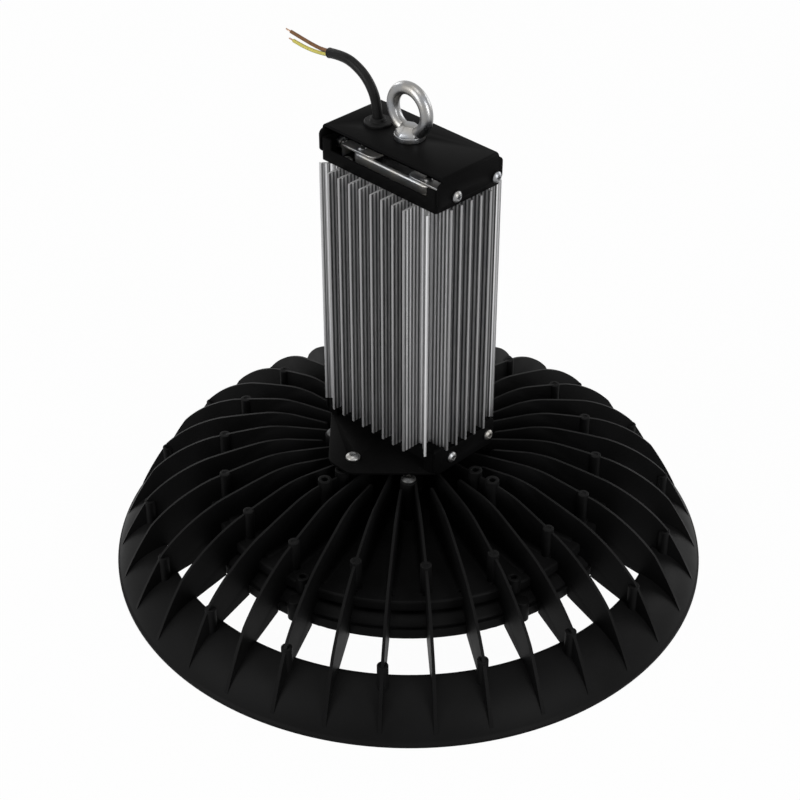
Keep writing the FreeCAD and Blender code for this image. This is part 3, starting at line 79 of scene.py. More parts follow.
@dataclass(frozen=True)
class Levels:
    """Heights and radii in millimetres that several pieces share."""

    rim_radius: float
    hub_top: float
    board_under: float
    disc_under: float
    flange_under: float
    plate_top: float
    disc_thickness: float = 6.0
    skirt_flare: float = 33.5
    skirt_top: float = 30.0
    eye_rise: float = 18.0

    @classmethod
    def read(cls) -> "Levels":
        """Takes from the frame's boxes what they hold.

        Returns:
            The levels of this frame.
        """
        sink, board = box_mm("heat_sink"), box_mm("led_board")
        return cls(rim_radius=round(sink[1][0], 1), hub_top=sink[1][2], board_under=board[0][2],
                   disc_under=board[1][2], flange_under=box_mm("cover_ring")[1][2],
                   plate_top=box_mm("top_bracket")[1][2])

    @property
    def disc_top(self) -> float:
        """Upper face of the casting's disc."""
        return self.disc_under + self.disc_thickness

    @property
    def skirt_top_radius(self) -> float:
        """Inner radius of the skirt's upper edge."""
        return self.rim_radius - self.skirt_flare

    @property
    def eye_level(self) -> float:
        """Height of the lifting eye's centre."""
        return self.plate_top + self.eye_rise


# ------------------------------------------------------------------------------- mesh tools
STRAIGHT = math.radians(88)  # half of a corner's angle, past which it isn't rounded
EDGE_SHARE = 0.45  # the most of an edge that the rounding at one of its ends may take
HARD = math.radians(28)  # angle past which a node's edge is rounded
COPLANAR = math.radians(0.6)  # angle under which a node's triangles are joined
WELD = 1e-3  # millimetres within which a node's points are one


def arc(start: Point, end: Point, radius: float, steps: int) -> list[Point]:
    """Points of an arc without its last one.

    Args:
        start: First point.
        end: Last point, left out so that outlines can be chained.
        radius: Positive with the centre on the left of the way, negative on the right.
        steps: Number of chords.

    Returns:
        The points, the first included.
    """
    a, b = Vector(start), Vector(end)
    along = b - a
    left = Vector((-along.y, along.x)).normalized()
    reach = math.sqrt(max(radius * radius - along.length_squared / 4, 0.0))
    centre = (a + b) / 2 + left * math.copysign(reach, radius)
    first = math.atan2(a.y - centre.y, a.x - centre.x)
    last = math.atan2(b.y - centre.y, b.x - centre.x)
    turn = (last - first) % (2 * math.pi) if radius > 0 else -((first - last) % (2 * math.pi))
    return [
        (centre.x + abs(radius) * math.cos(first + turn * i / steps),
         centre.y + abs(radius) * math.sin(first + turn * i / steps))
        for i in range(steps)
    ]


def rounded_outline(points: Sequence[Point], radius: float, steps: int = 4) -> list[Point]:
    """A closed outline with every corner rounded, save those that are nearly straight.

    Args:
        points: The corners in order.
        radius: Corner radius, cut down where an edge is short.
        steps: Chords per corner.

    Returns:
        The rounded outline's points.
    """
    result: list[Point] = []
    count = len(points)
    for i in range(count):
        before, corner, after = (Vector(points[(i + k) % count]) for k in (-1, 0, 1))
        u, v = (before - corner), (after - corner)
        half = u.angle(v) / 2
        if half > STRAIGHT:
            result.append(tuple(corner))
            continue
        cut = min(radius / math.tan(half), EDGE_SHARE * u.length, EDGE_SHARE * v.length)
        a, b = corner + u.normalized() * cut, corner + v.normalized() * cut
        for k in range(steps + 1):
            t = k / steps
            result.append(tuple(a * (1 - t) ** 2 + corner * 2 * t * (1 - t) + b * t * t))
    return result


class Shape:
    """A mesh under construction, in millimetres."""

    def __init__(self) -> None:
        """Starts an empty mesh."""
        self.bm = bmesh.new()

    def turned(self, profile: Sequence[Point], steps: int, slot: int = 0) -> "Shape":
        """Adds a closed section turned about Z.

        Args:
            profile: Closed outline of (radius, height) points.
            steps: Divisions of the full turn.
            slot: Material index.

        Returns:
            This shape.
        """
        verts = [self.bm.verts.new((r, 0.0, z)) for r, z in profile]
        edges = [self.bm.edges.new((a, verts[(i + 1) % len(verts)])) for i, a in enumerate(verts)]
        faces_before = len(self.bm.faces)
        bmesh.ops.spin(self.bm, geom=verts + edges, cent=(0, 0, 0), axis=(0, 0, 1), steps=steps,
                       angle=math.tau, use_merge=True, use_normal_flip=False)
        self.bm.faces.ensure_lookup_table()
        made = self.bm.faces[faces_before:]
        axis = [v for v in self.bm.verts if abs(v.co.x) < 1e-6 and abs(v.co.y) < 1e-6]
        bmesh.ops.remove_doubles(self.bm, verts=axis, dist=1e-5)
        for face in (f for f in made if f.is_valid):
            face.material_index = slot
        return self

    def prism(self, outline: Sequence[Point], low: float, high: float, place: Matrix | None = None,
              bevel: float = 0.0, segments: int = 2, slot: int = 0) -> "Shape":
        """Adds an outline in the XY plane pulled up from low to high.

        Args:
            outline: Closed outline.
            low: Lower face.
            high: Upper face.
            place: Where the prism goes, as a matrix in millimetres.
            bevel: Width of the rounding of both rims.
            segments: Steps of that rounding.
            slot: Material index.

        Returns:
            This shape.
        """
        part = bmesh.new()
        base = part.faces.new([part.verts.new((x, y, low)) for x, y in outline])
        pulled = bmesh.ops.extrude_face_region(part, geom=[base])
        top = [g for g in pulled["geom"] if isinstance(g, bmesh.types.BMVert)]
        bmesh.ops.translate(part, vec=(0, 0, high - low), verts=top)
        bmesh.ops.recalc_face_normals(part, faces=part.faces)
        if bevel:
            rims = [e for e in part.edges if abs(e.verts[0].co.z - e.verts[1].co.z) < 1e-6]
            bmesh.ops.bevel(part, geom=rims, offset=bevel, segments=segments, profile=0.5,
                            affect="EDGES", material=-1, clamp_overlap=False)
        self.absorb(part, [place or Matrix()], slot)
        return self

    def lofted(self, rows: Sequence[Sequence[Sequence[float]]]) -> "Shape":
        """Adds a closed bar through sections of equally many points.

        Args:
            rows: The sections in order.

        Returns:
            This shape.
        """
        loops = [[self.bm.verts.new(point) for point in row] for row in rows]
        for a, b in zip(loops, loops[1:]):
            for k in range(len(a)):
                m = (k + 1) % len(a)
                self.bm.faces.new((a[k], b[k], b[m], a[m]))
        self.bm.faces.new(loops[0])
        self.bm.faces.new(loops[-1][::-1])
        return self

    def absorb(self, part: bmesh.types.BMesh, places: Iterable[Matrix], slot: int = 0) -> "Shape":
        """Adds copies of another mesh and frees it.

        Args:
            part: The mesh to copy.
            places: One matrix for each copy.
            slot: Material index added to the copy's own.

        Returns:
            This shape.
        """
        mesh = bpy.data.meshes.new("part")
        part.to_mesh(mesh)
        part.free()
        for place in places:
            verts, faces = len(self.bm.verts), len(self.bm.faces)
            self.bm.from_mesh(mesh)
            self.bm.verts.ensure_lookup_table()
            self.bm.faces.ensure_lookup_table()
            bmesh.ops.transform(self.bm, matrix=place, verts=self.bm.verts[verts:])
            for face in self.bm.faces[faces:]:
                face.material_index += slot
        bpy.data.meshes.remove(mesh)
        return self

    def take(self, other: "Shape", places: Iterable[Matrix]) -> "Shape":
        """Adds copies of another shape, which is used up."""
        return self.absorb(other.bm, places)

    def piece(self, name: str, palette: "Palette", finishes: Sequence["Finish"], sharp: float = 35.0,
              replaces: Sequence[str] = ()) -> bpy.types.Object:
        """Turns the shape into a scene piece that rides on the lamp.

        Args:
            name: The piece's name.
            palette: Where its materials come from.
            finishes: Its finishes, in slot order.
            sharp: Angle in degrees above which an edge stays sharp.
            replaces: CAD nodes that it stands for.

        Returns:
            The new object.
        """
        bmesh.ops.recalc_face_normals(self.bm, faces=self.bm.faces)
        bmesh.ops.scale(self.bm, vec=(MM, MM, MM), verts=self.bm.verts)
        mesh = bpy.data.meshes.new(name)
        self.bm.to_mesh(mesh)
        self.bm.free()
        mesh.shade_smooth()
        mesh.set_sharp_from_angle(angle=math.radians(sharp))
        obj = bpy.data.objects.new(name, mesh)
        bpy.context.scene.collection.objects.link(obj)
        for finish in finishes:
            mesh.materials.append(palette[finish])
        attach(obj, BODY)
        finishes[0].slot
        if replaces:
            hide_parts(*replaces)
        LOG.info("%s: %d faces", name, len(mesh.polygons))
        return obj


def around(count: int, start: float = 0.0) -> list[Matrix]:
    """Turns about Z for a ring of equal copies, start in degrees."""
    return [Matrix.Rotation(math.radians(start + 360.0 * k / count), 4, "Z") for k in range(count)]


def ring_of(count: int, radius: float, start: float = 0.0, level: float = 0.0) -> list[Matrix]:
    """Places on a circle about the lamp's axis.

    Args:
        count: Number of places.
        radius: The circle's radius.
        start: Angle of the first one, in degrees.
        level: Height of the circle.

    Returns:
        One matrix for each place, turned to face outwards.
    """
    return [turn @ Matrix.Translation((radius, 0, level)) for turn in around(count, start)]


def round_rod(radius: float, low: float, high: float, edge: float, steps: int = 24,
              dimple: float = 0.0) -> Shape:
    """A standing rod with a rounded top edge and, if asked, a moulded dimple in its top.

    Args:
        radius: The rod's radius.
        low: Its foot.
        high: Its top.
        edge: Radius of the top edge.
        steps: Divisions of the full turn.
        dimple: Radius of the dimple, or 0 for none.

    Returns:
        The rod, on the Z axis.
    """
    profile = [(0.0, low), (radius, low)]
    profile += arc((radius, high - edge), (radius - edge, high), edge, 4)
    profile.append((radius - edge, high))
    if dimple:
        profile += [(dimple + 0.25, high), (dimple, high - 0.35), (0.0, high - 0.45)]
    else:
        profile.append((0.0, high))
    return Shape().turned(profile, steps)


def softened(node: str, name: str, palette: "Palette", finish: "Finish", width: float) -> bpy.types.Object:
    """A CAD node's shape with its hard edges rounded, as pressed, cast or turned metal has them.

    Args:
        node: The CAD node that the piece stands for.
        name: The piece's name.
        palette: Where its material comes from.
        finish: Its finish.
        width: Width of the rounding in millimetres.

    Returns:
        The new piece.
    """
    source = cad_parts[node]
    shape = Shape()
    bm = shape.bm
    bm.from_mesh(source.data)
    bmesh.ops.transform(bm, matrix=source.matrix_world, verts=bm.verts)
    bmesh.ops.scale(bm, vec=(1 / MM,) * 3, verts=bm.verts)
    bmesh.ops.remove_doubles(bm, verts=bm.verts, dist=WELD)
    bmesh.ops.dissolve_limit(bm, angle_limit=COPLANAR, use_dissolve_boundaries=False,
                             verts=bm.verts, edges=bm.edges)
    hard = [e for e in bm.edges if len(e.link_faces) == 2 and e.calc_face_angle(0.0) > HARD]
    bmesh.ops.bevel(bm, geom=hard, offset=width, offset_type="OFFSET", segments=2, profile=0.5,
                    affect="EDGES", material=-1, clamp_overlap=False)
    return shape.piece(name, palette, [finish], sharp=40, replaces=[node])


# ------------------------------------------------------------------------------- node graphs
class Graph:
    """Builds one node material on object coordinates."""

    def __init__(self, name: str, **values: object) -> None:
        """Starts the material.

        Args:
            name: Its name.
            values: Settings of its shader, where _ stands for a space.
        """
        self.material = bpy.data.materials.new(name)
        self.material.use_nodes = True
        self.tree = self.material.node_tree
        self.shader = self.tree.nodes["Principled BSDF"]
        self.place = self.tree.nodes.new("ShaderNodeTexCoord").outputs["Object"]
        for key, value in values.items():
            self.shader.inputs[key.replace("_", " ")].default_value = value

    def node(self, kind: str, links: dict[object, object], **settings: object) -> bpy.types.Node:
        """Adds a node.

        Args:
            kind: Its type.
            links: What each of its inputs is linked to or set to.
            settings: Its own settings.

        Returns:
            The node.
        """
        node = self.tree.nodes.new(kind)
        for key, value in settings.items():
            setattr(node, key, value)
        for socket, value in links.items():
            if isinstance(value, bpy.types.NodeSocket):
                self.tree.links.new(value, node.inputs[socket])
            else:
                node.inputs[socket].default_value = value
        return node

    def apart(self, vector: Socket) -> bpy.types.Node:
        """Splits a vector into X, Y and Z."""
        return self.node("ShaderNodeSeparateXYZ", {"Vector": vector})

    def facing(self) -> bpy.types.Node:
        """The way the surface faces, split into X, Y and Z."""
        return self.apart(self.node("ShaderNodeNewGeometry", {}).outputs["Normal"])

    def stretched(self, x: float, y: float, z: float) -> Socket:
        """Object coordinates scaled along each axis."""
        return self.node("ShaderNodeMapping", {"Vector": self.place, "Scale": (x, y, z)}).outputs["Vector"]

    def noise(self, scale: float, detail: float = 3.0, vector: Socket | None = None) -> Socket:
        """Fractal noise from 0 to 1, on object coordinates or on a vector of its own."""
        links = {"Vector": vector or self.place, "Scale": scale, "Detail": detail, "Roughness": 0.55}
        return self.node("ShaderNodeTexNoise", links).outputs["Fac"]

    def cells(self, scale: float) -> Socket:
        """Distance to the nearest of scattered cell centres."""
        return self.node("ShaderNodeTexVoronoi", {"Vector": self.place, "Scale": scale}).outputs["Distance"]

    def span(self, source: Socket, low: float, high: float, start: float = 0.0, end: float = 1.0) -> Socket:
        """Maps start..end of a value to low..high, held at both ends."""
        links = {"Value": source, "From Min": start, "From Max": end, "To Min": low, "To Max": high}
        return self.node("ShaderNodeMapRange", links).outputs["Result"]

    def maths(self, operation: str, a: object, b: object = 0.0) -> Socket:
        """One arithmetic step."""
        return self.node("ShaderNodeMath", {0: a, 1: b}, operation=operation).outputs[0]

    def blend(self, factor: object, a: object, b: object) -> Socket:
        """Mixes two colours."""
        return self.node("ShaderNodeMix", {0: factor, 6: a, 7: b}, data_type="RGBA").outputs[2]

    def bump(self, height: Socket, depth: float, strength: float, under: Socket | None = None) -> Socket:
        """Turns a height into a normal.

        Args:
            height: The height, from 0 to 1.
            depth: What a height of 1 stands for, in metres.
            strength: Share of the effect.
            under: A normal that this one is laid over.

        Returns:
            The normal.
        """
        links = {"Height": height, "Distance": depth, "Strength": strength}
        if under:
            links["Normal"] = under
        return self.node("ShaderNodeBump", links).outputs["Normal"]

    def finish(self, **sockets: Socket) -> Material:
        """Links the shader's inputs.

        Args:
            sockets: An output for each input, where _ stands for a space.

        Returns:
            The finished material.
        """
        for key, value in sockets.items():
            self.tree.links.new(value, self.shader.inputs[key.replace("_", " ")])
        return self.material


# ------------------------------------------------------------------------------- finishes
def grey(value: float, tint: tuple[float, float, float] = (1, 1, 1)) -> Colour:
    """An opaque, lightly tinted grey."""
    return (value * tint[0], value * tint[1], value * tint[2], 1.0)


@dataclass(frozen=True)
class Look:
    """A kind of surface. Its fields are what may differ from one finish to the next."""

    def draw(self, name: str) -> Material:
        """Each kind of surface draws its own graph."""
        raise NotImplementedError


@dataclass(frozen=True)
class Powder(Look):
    """Satin black powder coat: fine orange peel, faint mottling and dust on what faces up."""

    level: float
    gloss: float
    grain: float
    shine: float
    dust: float = 0.06

    def draw(self, name: str) -> Material:
        """Draws the coat: its tone, its roughness round gloss and the two layers of its grain.

        Args:
            name: The material's name.

        Returns:
            The material.
        """
        g = Graph(name, Specular_IOR_Level=self.shine)
        peel = g.noise(1500, 2.0)
        cloud = g.noise(26, 4.0)
        grit = g.cells(2300)
        facing_up = g.span(g.facing().outputs["Z"], 0.0, 0.035, 0.5, 1.0)
        dust = g.maths("MULTIPLY", facing_up, g.span(cloud, 0.3, 1.0, 0.35, 0.7))
        coat = g.blend(g.span(cloud, 0.0, 1.0, 0.3, 0.7), grey(self.level * 0.8),
                       grey(self.level * 1.25, (1, 1, 1.04)))
        rough = g.maths("ADD", g.span(cloud, self.gloss - 0.06, self.gloss + 0.07, 0.3, 0.7),
                        g.span(grit, -0.03, 0.05))
        normal = g.bump(peel, self.grain, 0.55, g.bump(grit, self.grain * 0.5, 0.35))
        return g.finish(Base_Color=g.blend(dust, coat, grey(self.dust, (1, 0.98, 0.95))),
                        Roughness=rough, Normal=normal)


@dataclass(frozen=True)
class Ribs:
    """The extrusion's ribs along one axis, in millimetres: the first crest, the pitch, and how far
    the outermost ones reach."""

    axis: str
    first: float
    pitch: float
    reach: float


@dataclass(frozen=True)
class Extruded(Look):
    """Extruded aluminium: painted highlights on the rib crests, painted shade in the troughs, die lines along
    Z and bright sawn ends.
    """

    along_y: Ribs = Ribs("Y", 23.6, 2.77, 37.45)
    along_x: Ribs = Ribs("X", 37.3, 2.88, 51.7)
    # Painted light: the tone in the rib troughs is painted shade and the tone on the crests a painted
    # highlight.
    painted_trough_shade: float = 0.08
    crest: float = 0.70
    tip: float = 0.30
    sawn: float = 0.60

    def draw(self, name: str) -> Material:
        """Draws the ribs' painted highlights and shade, the outermost tips, the die lines and the sawn ends.

        Args:
            name: The material's name.

        Returns:
            The material.
        """
        g = Graph(name, Metallic=1.0)
        place, turn = g.apart(g.place), g.facing()
        facing = [g.maths("ABSOLUTE", turn.outputs[axis]) for axis in "XYZ"]
        crests, tips = [], []
        for ribs in (self.along_y, self.along_x):
            out = g.maths("ABSOLUTE", place.outputs[ribs.axis])
            step = g.maths("SUBTRACT", out, ribs.first * MM)
            wave = g.maths("COSINE", g.maths("MULTIPLY", step, math.tau / (ribs.pitch * MM)))
            crests.append(g.span(wave, 0.0, 1.0, -0.9, 0.9))
            tips.append(g.span(out, 0.0, 1.0, (ribs.reach - 0.35) * MM, (ribs.reach - 0.1) * MM))
        to_x = g.span(g.maths("SUBTRACT", facing[0], facing[1]), 0.0, 1.0, -0.05, 0.05)
        crest = g.maths("ADD", g.maths("MULTIPLY", crests[0], to_x),
                        g.maths("MULTIPLY", crests[1], g.maths("SUBTRACT", 1.0, to_x)))
        tip = g.maths("MAXIMUM", *tips)
        lines = g.noise(1.0, 2.0, g.stretched(2600, 2600, 9))
        cloud = g.noise(38, 4.0)
        cut = g.span(facing[2], 0.0, 1.0, 0.8, 0.95)
        saw = g.noise(1.0, 2.0, g.stretched(90, 5200, 90))
        # Painted highlights on the rib crests and painted shade in the troughs, plus the die lines' own tone.
        painted_rib_shade_and_lines = g.maths("ADD", g.span(crest, self.painted_trough_shade, self.crest), g.span(lines, -0.04, 0.04, 0.3, 0.7))
        tone = g.maths("ADD", g.maths("MULTIPLY", painted_rib_shade_and_lines, g.maths("SUBTRACT", 1.0, tip)),
                       g.maths("MULTIPLY", tip, self.tip))
        body = g.node("ShaderNodeCombineColor", {0: tone, 1: tone, 2: g.maths("MULTIPLY", tone, 1.01)})
        rough = g.maths("ADD", g.span(lines, 0.42, 0.54, 0.3, 0.7), g.span(cloud, -0.03, 0.04, 0.3, 0.7))
        return g.finish(Base_Color=g.blend(cut, body.outputs[0], grey(self.sawn)), Roughness=rough,
                        Normal=g.bump(g.blend(cut, lines, saw), 0.00003, 0.5))


@dataclass(frozen=True)
class Plated(Look):
    """Zinc plate or pressed aluminium: bright, a little uneven, with a faint cool and straw tint."""

    level: float
    gloss: float
    lumps: float = 0.00003

    def draw(self, name: str) -> Material:
        """Draws the metal: its tone, its roughness round gloss, and lumps that deep in metres.

        Args:
            name: The material's name.

        Returns:
            The material.
        """
        g = Graph(name, Metallic=1.0)
        cloud = g.noise(85, 4.0)
        fine = g.noise(900, 3.0)
        tint = g.blend(g.span(cloud, 0, 1, 0.35, 0.65), grey(self.level, (0.95, 0.98, 1.03)),
                       grey(self.level * 0.93, (1.04, 1.0, 0.93)))
        rough = g.maths("ADD", g.span(cloud, self.gloss - 0.06, self.gloss + 0.08, 0.3, 0.7),
                        g.span(fine, -0.04, 0.05, 0.3, 0.7))
        normal = g.bump(cloud, self.lumps, 0.5, g.bump(fine, self.lumps * 0.12, 0.4))
        return g.finish(Base_Color=tint, Roughness=rough, Normal=normal)


@dataclass(frozen=True)
class Skin(Look):
    """Rubber, soft PVC or matt ceramic with a fine skin and a slight bloom."""

    colour: Colour
    gloss: float
    grain: float = 0.00002

    def draw(self, name: str) -> Material:
        """Draws the skin, paler where it blooms, with its roughness round gloss.

        Args:
            name: The material's name.

        Returns:
            The material.
        """
        g = Graph(name, Specular_IOR_Level=0.10)
        fine = g.noise(1900, 3.0)
        bloom = g.noise(120, 4.0)
        pale = tuple(min(1.0, c * 1.4 + 0.002) for c in self.colour[:3]) + (1.0,)
        tint = g.blend(g.span(bloom, 0.0, 1.0, 0.4, 0.75), self.colour, pale)
        rough = g.maths("ADD", g.span(bloom, self.gloss - 0.05, self.gloss + 0.08, 0.3, 0.7),
                        g.span(fine, -0.03, 0.04))
        return g.finish(Base_Color=tint, Roughness=rough, Normal=g.bump(fine, self.grain, 0.5))


@dataclass(frozen=True)
class Striped(Look):
    """Earth core insulation: a yellow stripe along one side of a green jacket."""

    green: Colour = (0.06, 0.19, 0.045, 1)
    yellow: Colour = (0.54, 0.48, 0.10, 1)

    def draw(self, name: str) -> Material:
        """Draws the two colours, parted by the way the surface faces.

        Args:
            name: The material's name.

        Returns:
            The material.
        """
        g = Graph(name, Specular_IOR_Level=0.45)
        way = g.facing()
        side = g.maths("ADD", way.outputs["Z"], g.maths("MULTIPLY", way.outputs["Y"], -0.55))
        skin = g.noise(700, 3.0)
        return g.finish(Base_Color=g.blend(g.span(side, 0.0, 1.0, -0.12, -0.06), self.green, self.yellow),
                        Roughness=g.span(skin, 0.32, 0.46), Normal=g.bump(skin, 0.00002, 0.4))


@dataclass(frozen=True)
class Copper(Look):
    """Fine copper strands, partly tinned."""

    light: Colour = (0.56, 0.40, 0.30, 1)
    dark: Colour = (0.44, 0.29, 0.20, 1)

    def draw(self, name: str) -> Material:
        """Draws the strands' cloudy tone.

        Args:
            name: The material's name.

        Returns:
            The material.
        """
        g = Graph(name, Metallic=1.0)
        cloud = g.noise(420, 3.0)
        return g.finish(Base_Color=g.blend(g.span(cloud, 0, 1, 0.35, 0.65), self.light, self.dark),
                        Roughness=g.span(cloud, 0.24, 0.40))


@dataclass(frozen=True)
class Glass(Look):
    """Toughened cover glass with the faintest smear on its face."""

    def draw(self, name: str) -> Material:
        """Draws the smear on clear glass."""
        g = Graph(name, Transmission_Weight=1.0, IOR=1.5, Base_Color=(0.97, 0.99, 0.985, 1))
        return g.finish(Roughness=g.span(g.noise(14, 5.0), 0.01, 0.055, 0.45, 0.75))


@dataclass(frozen=True)
class SolderMask(Look):
    """White mask over copper: faint raised traces in a grid, and a slight gloss."""

    def draw(self, name: str) -> Material:
        """Draws the mask with its grid of traces.

        Args:
            name: The material's name.

        Returns:
            The material.
        """
        g = Graph(name, Specular_IOR_Level=0.5)
        traces = g.node("ShaderNodeTexBrick", {
            "Vector": g.stretched(55, 55, 55), "Color1": grey(1), "Color2": grey(0.9),
            "Mortar": grey(0.0), "Scale": 1.0, "Mortar Size": 0.012, "Mortar Smooth": 0.6}).outputs["Fac"]
        cloud = g.noise(60, 3.0)
        tone = g.blend(g.span(cloud, 0, 1, 0.3, 0.7), grey(0.80, (1, 1, 0.99)), grey(0.86))
        shade = g.blend(g.span(traces, 0.0, 0.35), tone, grey(0.62, (1, 1, 0.97)))
        return g.finish(Base_Color=shade, Roughness=g.span(cloud, 0.30, 0.42),
                        Normal=g.bump(traces, 0.00008, 0.5))


@dataclass(frozen=True)
class Phosphor(Look):
    """Yellow phosphor gel in an LED package."""

    dark: Colour = (0.80, 0.58, 0.08, 1)
    light: Colour = (0.92, 0.72, 0.16, 1)

    def draw(self, name: str) -> Material:
        """Draws the speckled gel.

        Args:
            name: The material's name.

        Returns:
            The material.
        """
        g = Graph(name, Coat_Weight=0.8, Coat_Roughness=0.12)
        speck = g.noise(3200, 2.0)
        return g.finish(Base_Color=g.blend(speck, self.dark, self.light), Roughness=g.span(speck, 0.30, 0.45))


@dataclass(frozen=True)
class Resin(Look):
    """Cast potting resin: dark, with a self-levelled gloss and small pits."""

    def draw(self, name: str) -> Material:
        """Draws the resin's waves and pits.

        Args:
            name: The material's name.

        Returns:
            The material.
        """
        g = Graph(name, Specular_IOR_Level=0.5)
        pits = g.span(g.cells(240), 0.0, 1.0, 0.02, 0.12)
        wave = g.noise(22, 3.0)
        return g.finish(Base_Color=g.blend(wave, grey(0.008), grey(0.016, (1, 1, 1.1))),
                        Roughness=g.span(wave, 0.18, 0.34, 0.3, 0.7),
                        Normal=g.bump(pits, 0.0001, 0.4, g.bump(wave, 0.0004, 0.4)))


class Finish(Enum):
    """Every surface finish on the lamp: its material's name, its slot name and its look."""

    CASTING = ("casting_black", "black_casting", Powder(level=0.0034, gloss=0.50, grain=0.00005, shine=0.05))
    SHEET = ("sheet_black", "black_sheet", Powder(level=0.0022, gloss=0.50, grain=0.00004, shine=0.02))
    EXTRUSION = ("extrusion_aluminium", "extruded_aluminium", Extruded())
    PRESSED = ("pressed_aluminium", "extruded_aluminium", Plated(level=0.50, gloss=0.44))
    FORGED = ("forged_zinc", "zinc_steel", Plated(level=0.27, gloss=0.32, lumps=0.00022))
    FASTENER = ("fastener_zinc", "zinc_steel", Plated(level=0.24, gloss=0.38))
    # Painted shade: zinc darkened for the service post screws, standing for the shadow of the top plate's
    # edge over them.
    SHADED_FASTENER = ("fastener_painted_shade", "zinc_steel", Plated(level=0.06, gloss=0.48))
    RUBBER = ("rubber_black", "black_rubber", Skin(grey(0.005), gloss=0.55))
    SHEATH = ("sheath_black", "cable_sheath", Skin(grey(0.006), gloss=0.40))
    BROWN = ("insulation_brown", "brown_insulation", Skin((0.165, 0.085, 0.042, 1), gloss=0.42))
    STRIPED = ("insulation_green_yellow", "green_yellow_insulation", Striped())
    BLUE = ("insulation_blue", "blue_insulation", Skin((0.02, 0.08, 0.32, 1), gloss=0.40))
    COPPER = ("copper_strands", "copper", Copper())
    GLASS = ("cover_glass", "glass", Glass())
    SILICONE = ("silicone_seal", "silicone", Skin(grey(0.55, (1, 1, 0.97)), gloss=0.6))
    MASK = ("white_mask", "board_white", SolderMask())
    CERAMIC = ("led_ceramic", "led_phosphor", Skin(grey(0.82, (1, 0.99, 0.95)), gloss=0.38))
    PHOSPHOR = ("phosphor_gel", "led_phosphor", Phosphor())
    RESIN = ("potting_resin", "potting", Resin())

    def __init__(self, title: str, slot: str, look: Look) -> None:
        """Keeps the three under their names."""
        self.title, self.slot, self.look = title, slot, look


class Palette:
    """Makes each finish's material once."""

    def __init__(self) -> None:
        """Starts with no material made."""
        self.made: dict[Finish, Material] = {}

    def __getitem__(self, finish: Finish) -> Material:
        """The finish's material, drawn when it is first asked for.

        Args:
            finish: The finish.

        Returns:
            Its material.
        """
        if finish not in self.made:
            self.made[finish] = finish.look.draw(finish.title)
        return self.made[finish]


